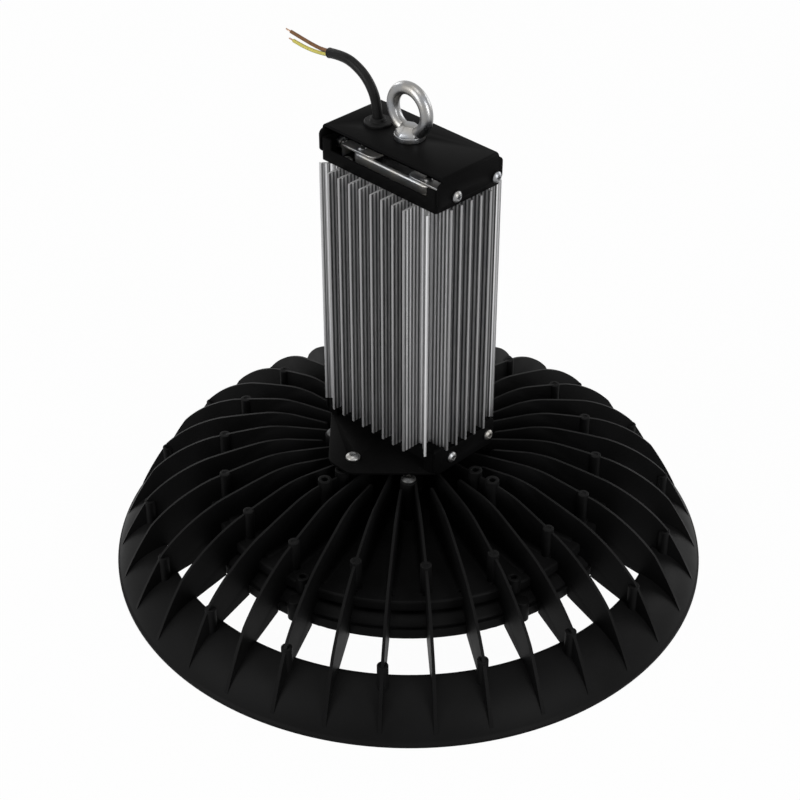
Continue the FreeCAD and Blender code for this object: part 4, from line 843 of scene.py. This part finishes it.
# ------------------------------------------------------------------------------- heat sink
@dataclass
class Casting:
    """The finned aluminium casting, built from its disc, skirt, fins and posts."""

    dims: Levels
    fin_pairs: int = 18
    long_fin_start: float = 22.0
    short_fin_start: float = 56.0
    root_half: float = 1.25
    crest_half: float = 0.78
    crest_level: float = 90.0
    fin_rounding: float = 0.42
    root_end: float = 129.0
    root_reach: float = 2.2
    root_sink: float = 0.7
    disc_edge: float = 135.0
    recess_edge: float = 126.0
    wall_radius: float = 131.5
    flange_edge: float = 142.0
    hub_radius: float = 24.0
    hub_bore: float = 12.0
    lead_hole: float = 9.0
    post_radius: float = 3.6
    post_dimple: float = 1.5
    mid_post_circle: float = 124.5
    mid_post_top: float = 81.3
    outer_post_circle: float = 175.0
    outer_post_top: float = 44.8
    standoff_circles: tuple[float, ...] = (61.0, 76.0)
    standoff_top: float = 93.0
    standoff_radius: float = 4.5
    standoff_bore: float = 2.1
    standoff_depth: float = 14.0
    bracket_post_circle: float = 51.0
    bracket_post_radius: float = 6.0
    service_post_circle: float = 50.0
    service_post_radius: float = 5.5
    service_post_top: float = 89.6
    boss_circle: float = 131.5
    boss_top: float = 63.0
    boss_depth: float = 6.0
    lug_circle: float = 141.5
    lug_radius: float = 4.8
    lug_top: float = 51.5
    lug_turn: float = -15.0

    def fin_outline(self, start: float) -> list[Point]:
        """Side view of a fin.

        Args:
            start: Radius where the fin begins.

        Returns:
            The outline's points, as radius and height.
        """
        d = self.dims
        rim, top = d.rim_radius, d.skirt_top
        points = [(start, d.disc_top - 3)]
        points += arc((start, 85.0), (start + 3.0, 88.05), -3.05, 4)
        points += [(start + 3.0, 88.05)]
        points += arc((82, 90.3), (100, 88.2), -74, 7)
        points += arc((100, 88.2), (134, 77.5), -617, 4)
        points += arc((134, 77.5), (rim - 24, 47.0), -112, 16)
        points += arc((rim - 24, 47.0), (rim - 2, 5.2), -300, 10)
        points += arc((rim - 1.4, 1.8), (d.skirt_top_radius + 1.5, top - 1.3), 48.7, 14)
        points += [(d.skirt_top_radius + 1.5, top - 1.3), (144.0, 37.5), (144.0, d.flange_under + 0.6),
                   (141.0, 46.0), (130.0, d.disc_top - 8), (129.0, d.disc_top - 4)]
        return points

    def fin(self, start: float) -> Shape:
        """One fin with draft: thin along its crest, thicker at its root, its edges rounded.

        Args:
            start: Radius where the fin begins.

        Returns:
            The fin, on the X axis.
        """
        part = bmesh.new()
        base = part.faces.new([part.verts.new((x, -0.5, z)) for x, z in self.fin_outline(start)])
        pulled = bmesh.ops.extrude_face_region(part, geom=[base])
        moved = [g for g in pulled["geom"] if isinstance(g, bmesh.types.BMVert)]
        bmesh.ops.translate(part, vec=(0, 1, 0), verts=moved)
        for vert in part.verts:
            share = min(1.0, max(0.0, vert.co.z / self.crest_level))
            half = self.root_half + (self.crest_half - self.root_half) * share
            vert.co.y = math.copysign(half, vert.co.y)
        bmesh.ops.recalc_face_normals(part, faces=part.faces)
        rims = [e for e in part.edges if abs(e.verts[0].co.y - e.verts[1].co.y) < 1e-3]
        bmesh.ops.bevel(part, geom=rims, offset=self.fin_rounding, segments=2, profile=0.5, affect="EDGES",
                        material=-1, clamp_overlap=False)
        return Shape().absorb(part, [Matrix()])

    def root(self, start: float, end: float) -> Shape:
        """The concave root that joins a fin to the disc, as two thin wedges.

        Args:
            start: Radius where the root begins.
            end: Radius where it ends.

        Returns:
            The two wedges.
        """
        shape = Shape()
        half, reach, foot = self.root_half, self.root_reach, 0.6
        side = [(half - self.root_sink, -foot), (half + reach, -foot)]
        side += arc((half + reach, 0.0), (half - 0.2, reach + 0.3), -(reach + 0.35), 4)
        side.append((half - self.root_sink, reach + 0.3))
        for way in (1, -1):
            lay = Matrix(((0, 0, 1, 0), (way, 0, 0, 0), (0, 1, 0, 0), (0, 0, 0, 1)))
            shape.prism(side, start, end, Matrix.Translation((0, 0, self.dims.disc_top)) @ lay)
        return shape

    def disc(self) -> Shape:
        """The core disc with its hub, its flange and the recess of the light source.

        Returns:
            The disc.
        """
        d = self.dims
        edge, flange, wall = self.disc_edge, self.flange_edge, self.wall_radius
        hub, bore = self.hub_radius, self.hub_bore
        profile = [(self.lead_hole, d.disc_under), (self.recess_edge, d.disc_under),
                   (self.recess_edge + 2.0, d.flange_under)]
        profile += [(flange - 0.4, d.flange_under), (flange, d.flange_under + 0.4)]
        profile += arc((flange, d.flange_under + 1.4), (flange - 1.0, d.flange_under + 2.6), 1.6, 3)
        profile += [(136.6, d.flange_under + 5.6)]
        profile += arc((wall + 1.5, d.flange_under + 5.8), (wall, d.flange_under + 7.3), -1.5, 4)
        profile += [(wall, 52.4), (132.1, 53.0), (edge - 0.4, 53.0), (edge, 53.4)]
        profile += arc((edge, d.disc_top - 1.8), (edge - 1.8, d.disc_top), 1.8, 5)
        profile += [(edge - 1.8, d.disc_top)]
        profile += arc((hub + 3.0, d.disc_top), (hub, d.disc_top + 3.0), -3.0, 5)
        profile += arc((hub, d.hub_top - 0.5), (hub - 0.5, d.hub_top), 0.5, 2)
        profile += [(hub - 0.5, d.hub_top), (12.4, d.hub_top), (bore, d.hub_top - 0.4), (bore, d.disc_top),
                    (self.lead_hole, d.disc_top)]
        return Shape().turned(profile, 180)

    def skirt(self) -> Shape:
        """The flared ring that joins the fins, with a beaded rim.

        Returns:
            The skirt.
        """
        d = self.dims
        rim, top, inner = d.rim_radius, d.skirt_top, d.skirt_top_radius
        profile = [(rim - 2.7, 0.3), (rim - 2.3, 0.0), (rim - 0.5, 0.0), (rim, 0.5)]
        profile += arc((rim, 2.0), (rim - 0.7, 2.9), 1.0, 3)
        profile += arc((rim - 1.0, 3.1), (inner + 1.2, top), 48.0, 26)
        profile += arc((inner + 1.2, top), (inner, top - 1.2), 1.2, 4)
        profile += [(inner, top - 2.0)]
        profile += arc((inner + 0.5, top - 2.6), (rim - 3.0, 0.6), -47.4, 26)
        return Shape().turned(profile, 216)

    def hollow(self, low: float, high: float, depth: float) -> Shape:
        """A post with a rounded rim and a blind bore.

        Args:
            low: Its foot.
            high: Its top.
            depth: Depth of the bore.

        Returns:
            The post, on the Z axis.
        """
        outer, bore = self.standoff_radius, self.standoff_bore
        profile = [(0.0, low), (outer + 0.35, low)]
        profile += arc((outer, high - 0.5), (outer - 0.5, high), 0.5, 3)
        profile += [(outer - 0.5, high), (bore + 0.35, high), (bore, high - 0.35), (bore, high - depth),
                    (0.0, high - depth - 0.8)]
        return Shape().turned(profile, 28)

    def build(self, palette: Palette) -> None:
        """Makes the whole casting as one piece, its posts sunk a little into what carries them.

        Args:
            palette: Where its material comes from.
        """
        d = self.dims
        foot = d.disc_top - 1
        whole = Shape().take(self.disc(), [Matrix()]).take(self.skirt(), [Matrix()])
        for start, turn, circle, low, top in (
                (self.long_fin_start, 0.0, self.mid_post_circle, foot, self.mid_post_top),
                (self.short_fin_start, 10.0, self.outer_post_circle, d.skirt_top - 10, self.outer_post_top)):
            whole.take(self.fin(start), around(self.fin_pairs, turn))
            whole.take(self.root(start + 3, self.root_end), around(self.fin_pairs, turn))
            whole.take(round_rod(self.post_radius, low, top, 0.5, dimple=self.post_dimple),
                       ring_of(self.fin_pairs, circle, turn))
        for circle in self.standoff_circles:
            whole.take(self.hollow(foot, self.standoff_top, self.standoff_depth), ring_of(4, circle))
        whole.take(round_rod(self.bracket_post_radius, foot, d.hub_top, 0.4, 32),
                   [Matrix.Translation((0, way * self.bracket_post_circle, 0)) for way in (1, -1)])
        whole.take(round_rod(self.service_post_radius, foot, self.service_post_top, 0.5, 32),
                   ring_of(4, self.service_post_circle, 45))
        whole.take(self.hollow(d.disc_top - 7, self.boss_top, self.boss_depth),
                   ring_of(6, self.boss_circle, self.lug_turn))
        whole.take(round_rod(self.lug_radius, d.flange_under, self.lug_top, 0.8, 32),
                   ring_of(6, self.lug_circle, self.lug_turn))
        whole.piece("casting", palette, [Finish.CASTING], sharp=38, replaces=["heat_sink"])


# ------------------------------------------------------------------------------- eye bolt
@dataclass
class EyeBolt:
    """The forged lifting eye with its collar, faceted neck and threaded shank."""

    dims: Levels
    ring_mean: float = 14.0
    section: float = 4.0
    collar: float = 9.6
    neck_rise: float = 3.2
    neck_bevel: float = 0.35
    shank: float = 3.8
    shank_length: float = 13.0
    thread_radius: float = 4.0
    pitch: float = 1.25
    thread_steps: int = 28

    def ring(self) -> Shape:
        """The eye, spun from its round section.

        Returns:
            The ring.
        """
        shape = Shape()
        level = self.dims.eye_level
        bmesh.ops.create_circle(shape.bm, segments=28, radius=self.section,
                                matrix=Matrix.Translation((self.ring_mean, 0.0, level)))
        bmesh.ops.spin(shape.bm, geom=[*shape.bm.verts, *shape.bm.edges], cent=(0, 0, level), axis=(0, 1, 0),
                       angle=math.tau, steps=96, use_merge=True)
        bmesh.ops.recalc_face_normals(shape.bm, faces=shape.bm.faces)
        return shape

    def neck(self) -> Shape:
        """The six-sided shoulder between collar and eye, with forged edges.

        Returns:
            The neck, bridged from four hexagons that shrink upwards and flatten along Y.
        """
        part = bmesh.new()
        low = self.dims.plate_top + self.neck_rise
        for rise, size, squeeze in ((0.0, 9.3, 1.0), (1.8, 8.9, 0.9), (3.9, 7.4, 0.78), (5.6, 5.6, 0.72)):
            place = Matrix.Translation((0.0, 0.0, low + rise)) @ Matrix.Diagonal((1.0, squeeze, 1.0, 1.0))
            bmesh.ops.create_circle(part, segments=6, radius=size, matrix=place)
        bmesh.ops.bridge_loops(part, edges=part.edges[:])
        bmesh.ops.holes_fill(part, edges=[edge for edge in part.edges if edge.is_boundary], sides=6)
        bmesh.ops.recalc_face_normals(part, faces=part.faces)
        bmesh.ops.bevel(part, geom=part.edges[:], offset=self.neck_bevel, offset_type="OFFSET",
                        affect="EDGES", segments=2, profile=0.5, material=-1)
        return Shape().absorb(part, [Matrix()])

    def stem(self) -> Shape:
        """Collar and shank.

        Returns:
            The stem without its thread.
        """
        top, r, shank = self.dims.plate_top, self.collar, self.shank
        end = top - self.shank_length
        profile = [(0.0, end), (shank - 0.5, end), (shank, end + 0.7), (shank, top), (r - 0.7, top)]
        profile += arc((r - 0.7, top), (r, top + 0.7), 0.7, 3)
        profile += arc((r, top + 2.9), (r - 0.6, top + 3.5), 0.6, 3)
        profile += [(r - 0.6, top + 3.5), (0.0, top + 3.6)]
        return Shape().turned(profile, 64)

    def thread(self) -> Shape:
        """A helical ridge round the shank, which fades out over half a turn at both ends.

        Returns:
            The ridge.
        """
        top, pitch, steps = self.dims.plate_top, self.pitch, self.thread_steps
        low, high = top - 12.2, top - 0.4
        root = self.thread_radius - 0.55 * pitch
        count = int((high - low - pitch) / pitch * steps)
        rows = []
        for i in range(count + 1):
            angle = math.tau * i / steps
            z = low + pitch / 2 + pitch * i / steps
            fade = min(1.0, i / (steps / 2), (count - i) / (steps / 2))
            crest = self.thread_radius - 0.55 * pitch * (1.0 - fade)
            section = ((root, z - 0.46 * pitch), (crest, z - 0.06 * pitch), (crest, z + 0.06 * pitch),
                       (root, z + 0.46 * pitch))
            rows.append([(r * math.cos(angle), r * math.sin(angle), h) for r, h in section])
        return Shape().lofted(rows)

    def build(self, palette: Palette) -> None:
        """Makes the whole bolt as one piece.

        Args:
            palette: Where its material comes from.
        """
        whole = Shape()
        for part in (self.ring(), self.neck(), self.stem().take(self.thread(), [Matrix()])):
            whole.take(part, [Matrix()])
        whole.piece("lifting_eye", palette, [Finish.FORGED], sharp=27, replaces=["eye_bolt"])


# ------------------------------------------------------------------------------- light source
@dataclass
class LightSource:
    """The LED packages on the board's face, on rings of (radius, count)."""

    dims: Levels
    rings: tuple[tuple[float, int], ...] = ((29, 8), (54, 16), (77, 24), (108, 32))
    half: float = 2.5
    height: float = 1.05

    def package(self) -> Shape:
        """One package, face down: a ceramic body, a reflector cup and a phosphor pool.

        Returns:
            The package, its seat at height 0.
        """
        half = self.half
        square = rounded_outline([(-half, -half), (half, -half), (half, half), (-half, half)], 0.4, 3)
        cup = [(0.0, -1.02), (1.95, -1.02), (2.1, -1.2), (1.9, -1.2), (1.75, -1.08), (0.0, -1.10)]
        pool = [(0.0, -1.0), (1.8, -1.0), (1.78, -1.1), (1.1, -1.17), (0.0, -1.19)]
        return Shape().prism(square, -self.height, 0.0, bevel=0.12).turned(cup, 20).turned(pool, 20, slot=1)

    def build(self, palette: Palette) -> None:
        """Makes the whole array as one piece; all rings but the first are turned by half a step.

        Args:
            palette: Where their materials come from.
        """
        whole = Shape()
        for index, (radius, count) in enumerate(self.rings):
            turn = 180 / count if index else 0.0
            whole.take(self.package(), ring_of(count, radius, turn, self.dims.board_under))
        whole.piece("led_array", palette, [Finish.CERAMIC, Finish.PHOSPHOR], sharp=40, replaces=["led_chips"])


# ------------------------------------------------------------------------------- cables
@dataclass(frozen=True)
class Core:
    """One insulated conductor of the mains cable, in millimetres: its route's heights are above the
    cores' level, and bare is the length of its stripped end."""

    name: str
    node: str
    finish: Finish
    route: tuple[Place, ...]
    bare: float


@dataclass
class Cabling:
    """The mains cable with its three cores, in millimetres. The sheath's steps start at its foot."""

    cable_diameter: float = 6.3
    core_diameter: float = 2.3
    foot: Place = (-27.1, 0.0, 304.6)
    sheath_steps: tuple[Place, ...] = (
        (0, 0, 0), (0, 0, 16.4), (-8.2, 0, 30.6), (-22.1, 0, 37.7), (-34.6, 0, 38.0), (-42.4, 0, 36.6))
    core_rise: float = 35.9
    cores: tuple[Core, ...] = (
        Core("core_live", "core_brown", Finish.BROWN, (
            (-69.7, 0, 2.0), (-75.2, 0, 1.0), (-84.2, 0.1, 1.2), (-94.5, 0, 2.5), (-104.3, 0, 3.7)), 6.0),
        Core("core_earth", "core_green_yellow", Finish.STRIPED, (
            (-69.3, -1.17, -0.1), (-74.8, -1.17, -1.1), (-83.5, -1.6, -1.6), (-91.9, -1.9, -1.3),
            (-100.2, -1.7, -0.5)), 5.5),
        Core("core_neutral", "core_blue", Finish.BLUE, (
            (-69.3, 1.17, -0.1), (-74.8, 1.9, -0.5), (-83.8, 1.9, -0.1), (-93, 1.9, 0.75),
            (-101.5, 1.9, 1.8)), 5.5),
    )
    wires: int = 9
    wire_radius: float = 0.165
    wire_tip: float = 0.10
    wire_sides: int = 7
    wire_steps: int = 10
    wire_circle: float = 0.44
    twist: float = 1.7
    seed: int = 7

    def line(self, name: str, points: Sequence[Place], diameter: float, palette: Palette,
             finish: Finish) -> bpy.types.Object:
        """A smooth cable along given points.

        Args:
            name: The piece's name.
            points: Control points in millimetres.
            diameter: Outside diameter in millimetres.
            palette: Where its material comes from.
            finish: Its finish.

        Returns:
            The curve object.
        """
        curve = bpy.data.curves.new(name, "CURVE")
        curve.dimensions = "3D"
        spline = curve.splines.new("NURBS")
        spline.points.add(len(points) - 1)
        for slot, point in zip(spline.points, points):
            slot.co = (*(c * MM for c in point), 1.0)
        spline.order_u = 3
        spline.use_endpoint_u = True
        curve.resolution_u = 16
        curve.bevel_depth = diameter / 2 * MM
        curve.bevel_resolution = 7
        curve.use_fill_caps = True
        obj = bpy.data.objects.new(name, curve)
        bpy.context.scene.collection.objects.link(obj)
        curve.materials.append(palette[finish])
        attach(obj, BODY)
        LOG.info("%s: %d control points", name, len(points))
        return obj

    def strands(self, core: Core, end: Vector, heading: Vector, rng: random.Random) -> Shape:
        """The twisted bare wires past a core's cut end: one in the middle and the rest round it.

        Args:
            core: The core that they belong to.
            end: The middle of its cut end.
            heading: The way that it points, of length 1.
            rng: Where the wires' lengths and small shifts are drawn from.

        Returns:
            The wires.
        """
        shape = Shape()
        across = heading.cross(Vector((0, 1, 0))).normalized()
        other = heading.cross(across).normalized()
        turns = [math.tau * k / self.wire_sides for k in range(self.wire_sides)]
        section = [across * math.cos(turn) + other * math.sin(turn) for turn in turns]
        for wire in range(self.wires):
            reach = core.bare * rng.uniform(0.82, 1.0)
            circle = self.wire_circle if wire else 0.0
            phase = math.tau * wire / (self.wires - 1)
            rows = []
            for i in range(self.wire_steps + 1):
                t = i / self.wire_steps
                angle = phase + self.twist * t
                radius = circle * (1.0 - 0.25 * t) + 0.05 * rng.random() * t
                place = (end + heading * (reach * t - 0.8) + across * radius * math.cos(angle)
                         + other * radius * math.sin(angle))
                thin = self.wire_radius if i < self.wire_steps else self.wire_tip
                rows.append([place + way * thin for way in section])
            shape.lofted(rows)
        return shape

    def cuff(self, end: Vector, heading: Vector, palette: Palette) -> bpy.types.Object:
        """The slit edge of the sheath where it was stripped, slightly rolled.

        Args:
            end: The middle of the sheath's cut end.
            heading: The way that it points.
            palette: Where its material comes from.

        Returns:
            The piece.
        """
        r = self.cable_diameter / 2
        profile = [(r * 0.80, -0.7)]
        profile += arc((r + 0.05, -0.7), (r - 0.35, 0.35), 0.75, 4)
        profile += [(r - 0.35, 0.35), (r * 0.80, 0.1)]
        shape = Shape().turned(profile, 40)
        place = Matrix.Translation(end) @ heading.to_track_quat("Z", "Y").to_matrix().to_4x4()
        bmesh.ops.transform(shape.bm, matrix=place, verts=shape.bm.verts)
        return shape.piece("sheath_edge", palette, [Finish.SHEATH], sharp=50)

    def build(self, palette: Palette) -> None:
        """Args:
            palette: Where their materials come from.
        """
        route = [tuple(a + b for a, b in zip(self.foot, step)) for step in self.sheath_steps]
        sheath = self.line("mains_lead", route, self.cable_diameter, palette, Finish.SHEATH)
        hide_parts("mains_cable")
        end, before = Vector(route[-1]), Vector(route[-2])
        cuff = self.cuff(end, (end - before).normalized(), palette)
        [c * MM for c in route[0]]
        rng = random.Random(self.seed)
        level = self.foot[2] + self.core_rise
        tips = Shape()
        pieces = []
        for core in self.cores:
            points = [(x, y, level + z) for x, y, z in core.route]
            obj = self.line(core.name, points, self.core_diameter, palette, core.finish)
            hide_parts(core.node)
            end = Vector(points[-1])
            heading = (end - Vector(points[-2])).normalized()
            tips.take(self.strands(core, end, heading, rng), [Matrix()])
            length = sum((Vector(b) - Vector(a)).length for a, b in zip(points, points[1:]))
            pieces.append((obj, points[0], length))
        copper = tips.piece("bare_strands", palette, [Finish.COPPER], sharp=60, replaces=["core_strands"])
        for index, (obj, start, length) in enumerate(pieces):
            [c * MM for c in start]
            length * MM
            [copper] if index == 0 else []


# ------------------------------------------------------------------------------- other nodes
@dataclass
class Fittings:
    """The nodes whose CAD shape stays: some with rounded edges, some with a material alone.

    Each of the first is its node, the piece's name, its finish and the width of its rounding in
    millimetres.
    """

    rounded: tuple[tuple[str, str, Finish, float], ...] = (
        ("top_bracket", "top_plate", Finish.SHEET, 0.35),
        ("base_bracket", "base_plate", Finish.SHEET, 0.35),
        ("upper_end_tray", "upper_tray", Finish.SHEET, 0.25),
        ("lower_end_tray", "lower_tray", Finish.SHEET, 0.25),
        ("driver_clips", "clips", Finish.PRESSED, 0.2),
        ("driver_case", "case", Finish.PRESSED, 0.2),
        ("eye_bolt_washer", "eye_washer", Finish.FASTENER, 0.15),
        ("eye_bolt_nut", "eye_nut", Finish.FASTENER, 0.15),
        ("top_side_screws", "side_screws_top", Finish.FASTENER, 0.1),
        ("base_side_screws", "side_screws_base", Finish.FASTENER, 0.1),
        ("top_side_nuts", "side_nuts_top", Finish.FASTENER, 0.12),
        ("base_side_nuts", "side_nuts_base", Finish.FASTENER, 0.12),
        ("upper_tray_screws", "tray_screws_top", Finish.FASTENER, 0.1),
        ("lower_tray_screws", "tray_screws_base", Finish.FASTENER, 0.1),
        ("base_bracket_screws", "plate_screws", Finish.FASTENER, 0.12),
        # These screws get zinc darkened as painted shade of the plate's edge.
        ("service_post_screws", "post_screws", Finish.SHADED_FASTENER, 0.12),
        ("driver_clip_screws", "clip_screws", Finish.FASTENER, 0.1),
        ("cover_ring_screws", "ring_screws", Finish.FASTENER, 0.1),
        ("led_board_screws", "board_screws", Finish.FASTENER, 0.1),
        ("cover_glass", "front_glass", Finish.GLASS, 0.2),
        ("cable_grommet", "grommet", Finish.RUBBER, 0.2),
    )
    plain: tuple[tuple[str, Finish], ...] = (
        ("driver_housing", Finish.EXTRUSION), ("driver_potting", Finish.RESIN), ("driver_pad", Finish.RUBBER),
        ("lead_seal", Finish.RUBBER), ("led_lead", Finish.SHEATH), ("mains_tail", Finish.SHEATH),
        ("cover_gasket", Finish.SILICONE), ("led_board", Finish.MASK), ("cover_ring", Finish.CASTING),
    )

    def build(self, palette: Palette) -> None:
        """Rounds the first and gives the others their material.

        Args:
            palette: Where their materials come from.
        """
        for node, name, finish, width in self.rounded:
            softened(node, name, palette, finish, width)
        for node, finish in self.plain:
            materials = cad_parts[node].data.materials
            materials.clear()
            materials.append(palette[finish])
            LOG.info("%s: %s", node, finish.title)


# ------------------------------------------------------------------------------- studio
@dataclass(frozen=True)
class Softbox:
    """A rectangular light: its place and size in metres and its power in watts."""

    name: str
    place: Place
    size: Point
    power: float


@dataclass
class Studio:
    """Camera, lights, floor and backdrop, in metres."""

    camera_place: Place = (0.6881, -0.6881, 0.8039)
    camera_heading: Place = (-0.5812, 0.5743, -0.5765)
    lens: float = 81.45
    sensor: float = 36
    target: Place = (0, 0, 0.15)
    softboxes: tuple[Softbox, ...] = (
        Softbox("softbox_left", (-0.5, -1.9, 1.0), (1.0, 1.5), 26),
        Softbox("softbox_right", (1.9, -0.1, 0.9), (0.8, 1.4), 23),
        Softbox("softbox_back", (0.4, 2.0, 0.7), (1.3, 0.9), 13),
        Softbox("softbox_side", (-2.0, 0.3, 0.7), (0.9, 0.9), 9),
        Softbox("softbox_top", (0.1, -0.3, 2.2), (0.9, 0.9), 8),
    )
    floor_half: float = 6.0
    floor_tone: float = 0.80
    floor_white: float = 0.97
    surround: float = 0.13

    @staticmethod
    def aimed(name: str, data: bpy.types.ID, place: Place, heading: Vector) -> bpy.types.Object:
        """Adds a camera or a light.

        Args:
            name: Its name.
            data: Its data.
            place: Where it stands.
            heading: The way that it looks.

        Returns:
            The object.
        """
        obj = bpy.data.objects.new(name, data)
        obj.location = place
        obj.rotation_mode = "QUATERNION"
        obj.rotation_quaternion = heading.to_track_quat("-Z", "Y")
        bpy.context.scene.collection.objects.link(obj)
        return obj

    def camera(self) -> None:
        """The viewpoint: above one corner of the housing, looking down."""
        data = bpy.data.cameras.new("camera")
        data.lens = self.lens
        data.sensor_width = self.sensor
        bpy.context.scene.camera = self.aimed("camera", data, self.camera_place, Vector(self.camera_heading))

    def light(self, box: Softbox) -> None:
        """Adds a softbox that is aimed at the lamp.

        Args:
            box: What it is like.
        """
        data = bpy.data.lights.new(box.name, "AREA")
        data.shape = "RECTANGLE"
        data.size, data.size_y = box.size
        data.energy = box.power
        self.aimed(box.name, data, box.place, Vector(self.target) - Vector(box.place))

    @staticmethod
    def seen(tree: bpy.types.NodeTree, share: float) -> Socket:
        """How far a ray sees the plain white: camera, glossy and transmission rays do.

        Args:
            tree: The node tree of the floor or the backdrop.
            share: The most that is seen of the white.

        Returns:
            The factor's socket.
        """
        rays = tree.nodes.new("ShaderNodeLightPath")
        last = rays.outputs["Is Camera Ray"]
        for kind in ("Is Glossy Ray", "Is Transmission Ray"):
            either = tree.nodes.new("ShaderNodeMath")
            either.operation = "MAXIMUM"
            tree.links.new(last, either.inputs[0])
            tree.links.new(rays.outputs[kind], either.inputs[1])
            last = either.outputs[0]
        part = tree.nodes.new("ShaderNodeMath")
        part.operation = "MULTIPLY"
        part.inputs[1].default_value = share
        tree.links.new(last, part.inputs[0])
        return part.outputs[0]

    def whiten(self, tree: bpy.types.NodeTree, out: str, own: str, tone: float, white: str,
               share: float) -> None:
        """Fills a tree with its own grey and the plain white that some rays see instead.

        Args:
            tree: The node tree of the floor or the backdrop.
            out: Kind of its output.
            own: Kind of shader of its own grey.
            tone: How light that grey is.
            white: Kind of shader of the white.
            share: The most that is seen of the white.
        """
        tree.nodes.clear()
        end = tree.nodes.new(out)
        mix = tree.nodes.new("ShaderNodeMixShader")
        tree.links.new(self.seen(tree, share), mix.inputs[0])
        for index, kind, level in ((1, own, tone), (2, white, 1.0)):
            shader = tree.nodes.new(kind)
            shader.inputs["Color"].default_value = grey(level)
            tree.links.new(shader.outputs[0], mix.inputs[index])
        tree.links.new(mix.outputs[0], end.inputs["Surface"])

    def floor(self) -> None:
        """A pale floor whose own shade is nearly the backdrop's white."""
        shape = bmesh.new()
        bmesh.ops.create_grid(shape, x_segments=4, y_segments=4, size=self.floor_half)
        mesh = bpy.data.meshes.new("floor")
        shape.to_mesh(mesh)
        shape.free()
        obj = bpy.data.objects.new("floor", mesh)
        bpy.context.scene.collection.objects.link(obj)
        material = bpy.data.materials.new("floor_pale")
        material.use_nodes = True
        self.whiten(material.node_tree, "ShaderNodeOutputMaterial", "ShaderNodeBsdfDiffuse", self.floor_tone,
                    "ShaderNodeEmission", self.floor_white)
        mesh.materials.append(material)

    def backdrop(self) -> None:
        """White to the rays that see it, a dim even surround to everything else."""
        world = bpy.data.worlds.new("studio")
        bpy.context.scene.world = world
        world.use_nodes = True
        self.whiten(world.node_tree, "ShaderNodeOutputWorld", "ShaderNodeBackground", self.surround,
                    "ShaderNodeBackground", 1.0)

    def build(self) -> None:
        """Sets up the whole studio."""
        self.camera()
        for box in self.softboxes:
            self.light(box)
        self.floor()
        self.backdrop()
        bpy.context.scene.view_settings.view_transform = "Standard"


def main() -> None:
    """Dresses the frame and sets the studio."""
    logging.basicConfig(level=logging.INFO, format="%(name)s: %(message)s")
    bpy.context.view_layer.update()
    palette, dims = Palette(), Levels.read()
    for group in (Casting(dims), EyeBolt(dims), LightSource(dims), Cabling(), Fittings()):
        group.build(palette)
    Studio().build()


if __name__ == "__main__":
    main()
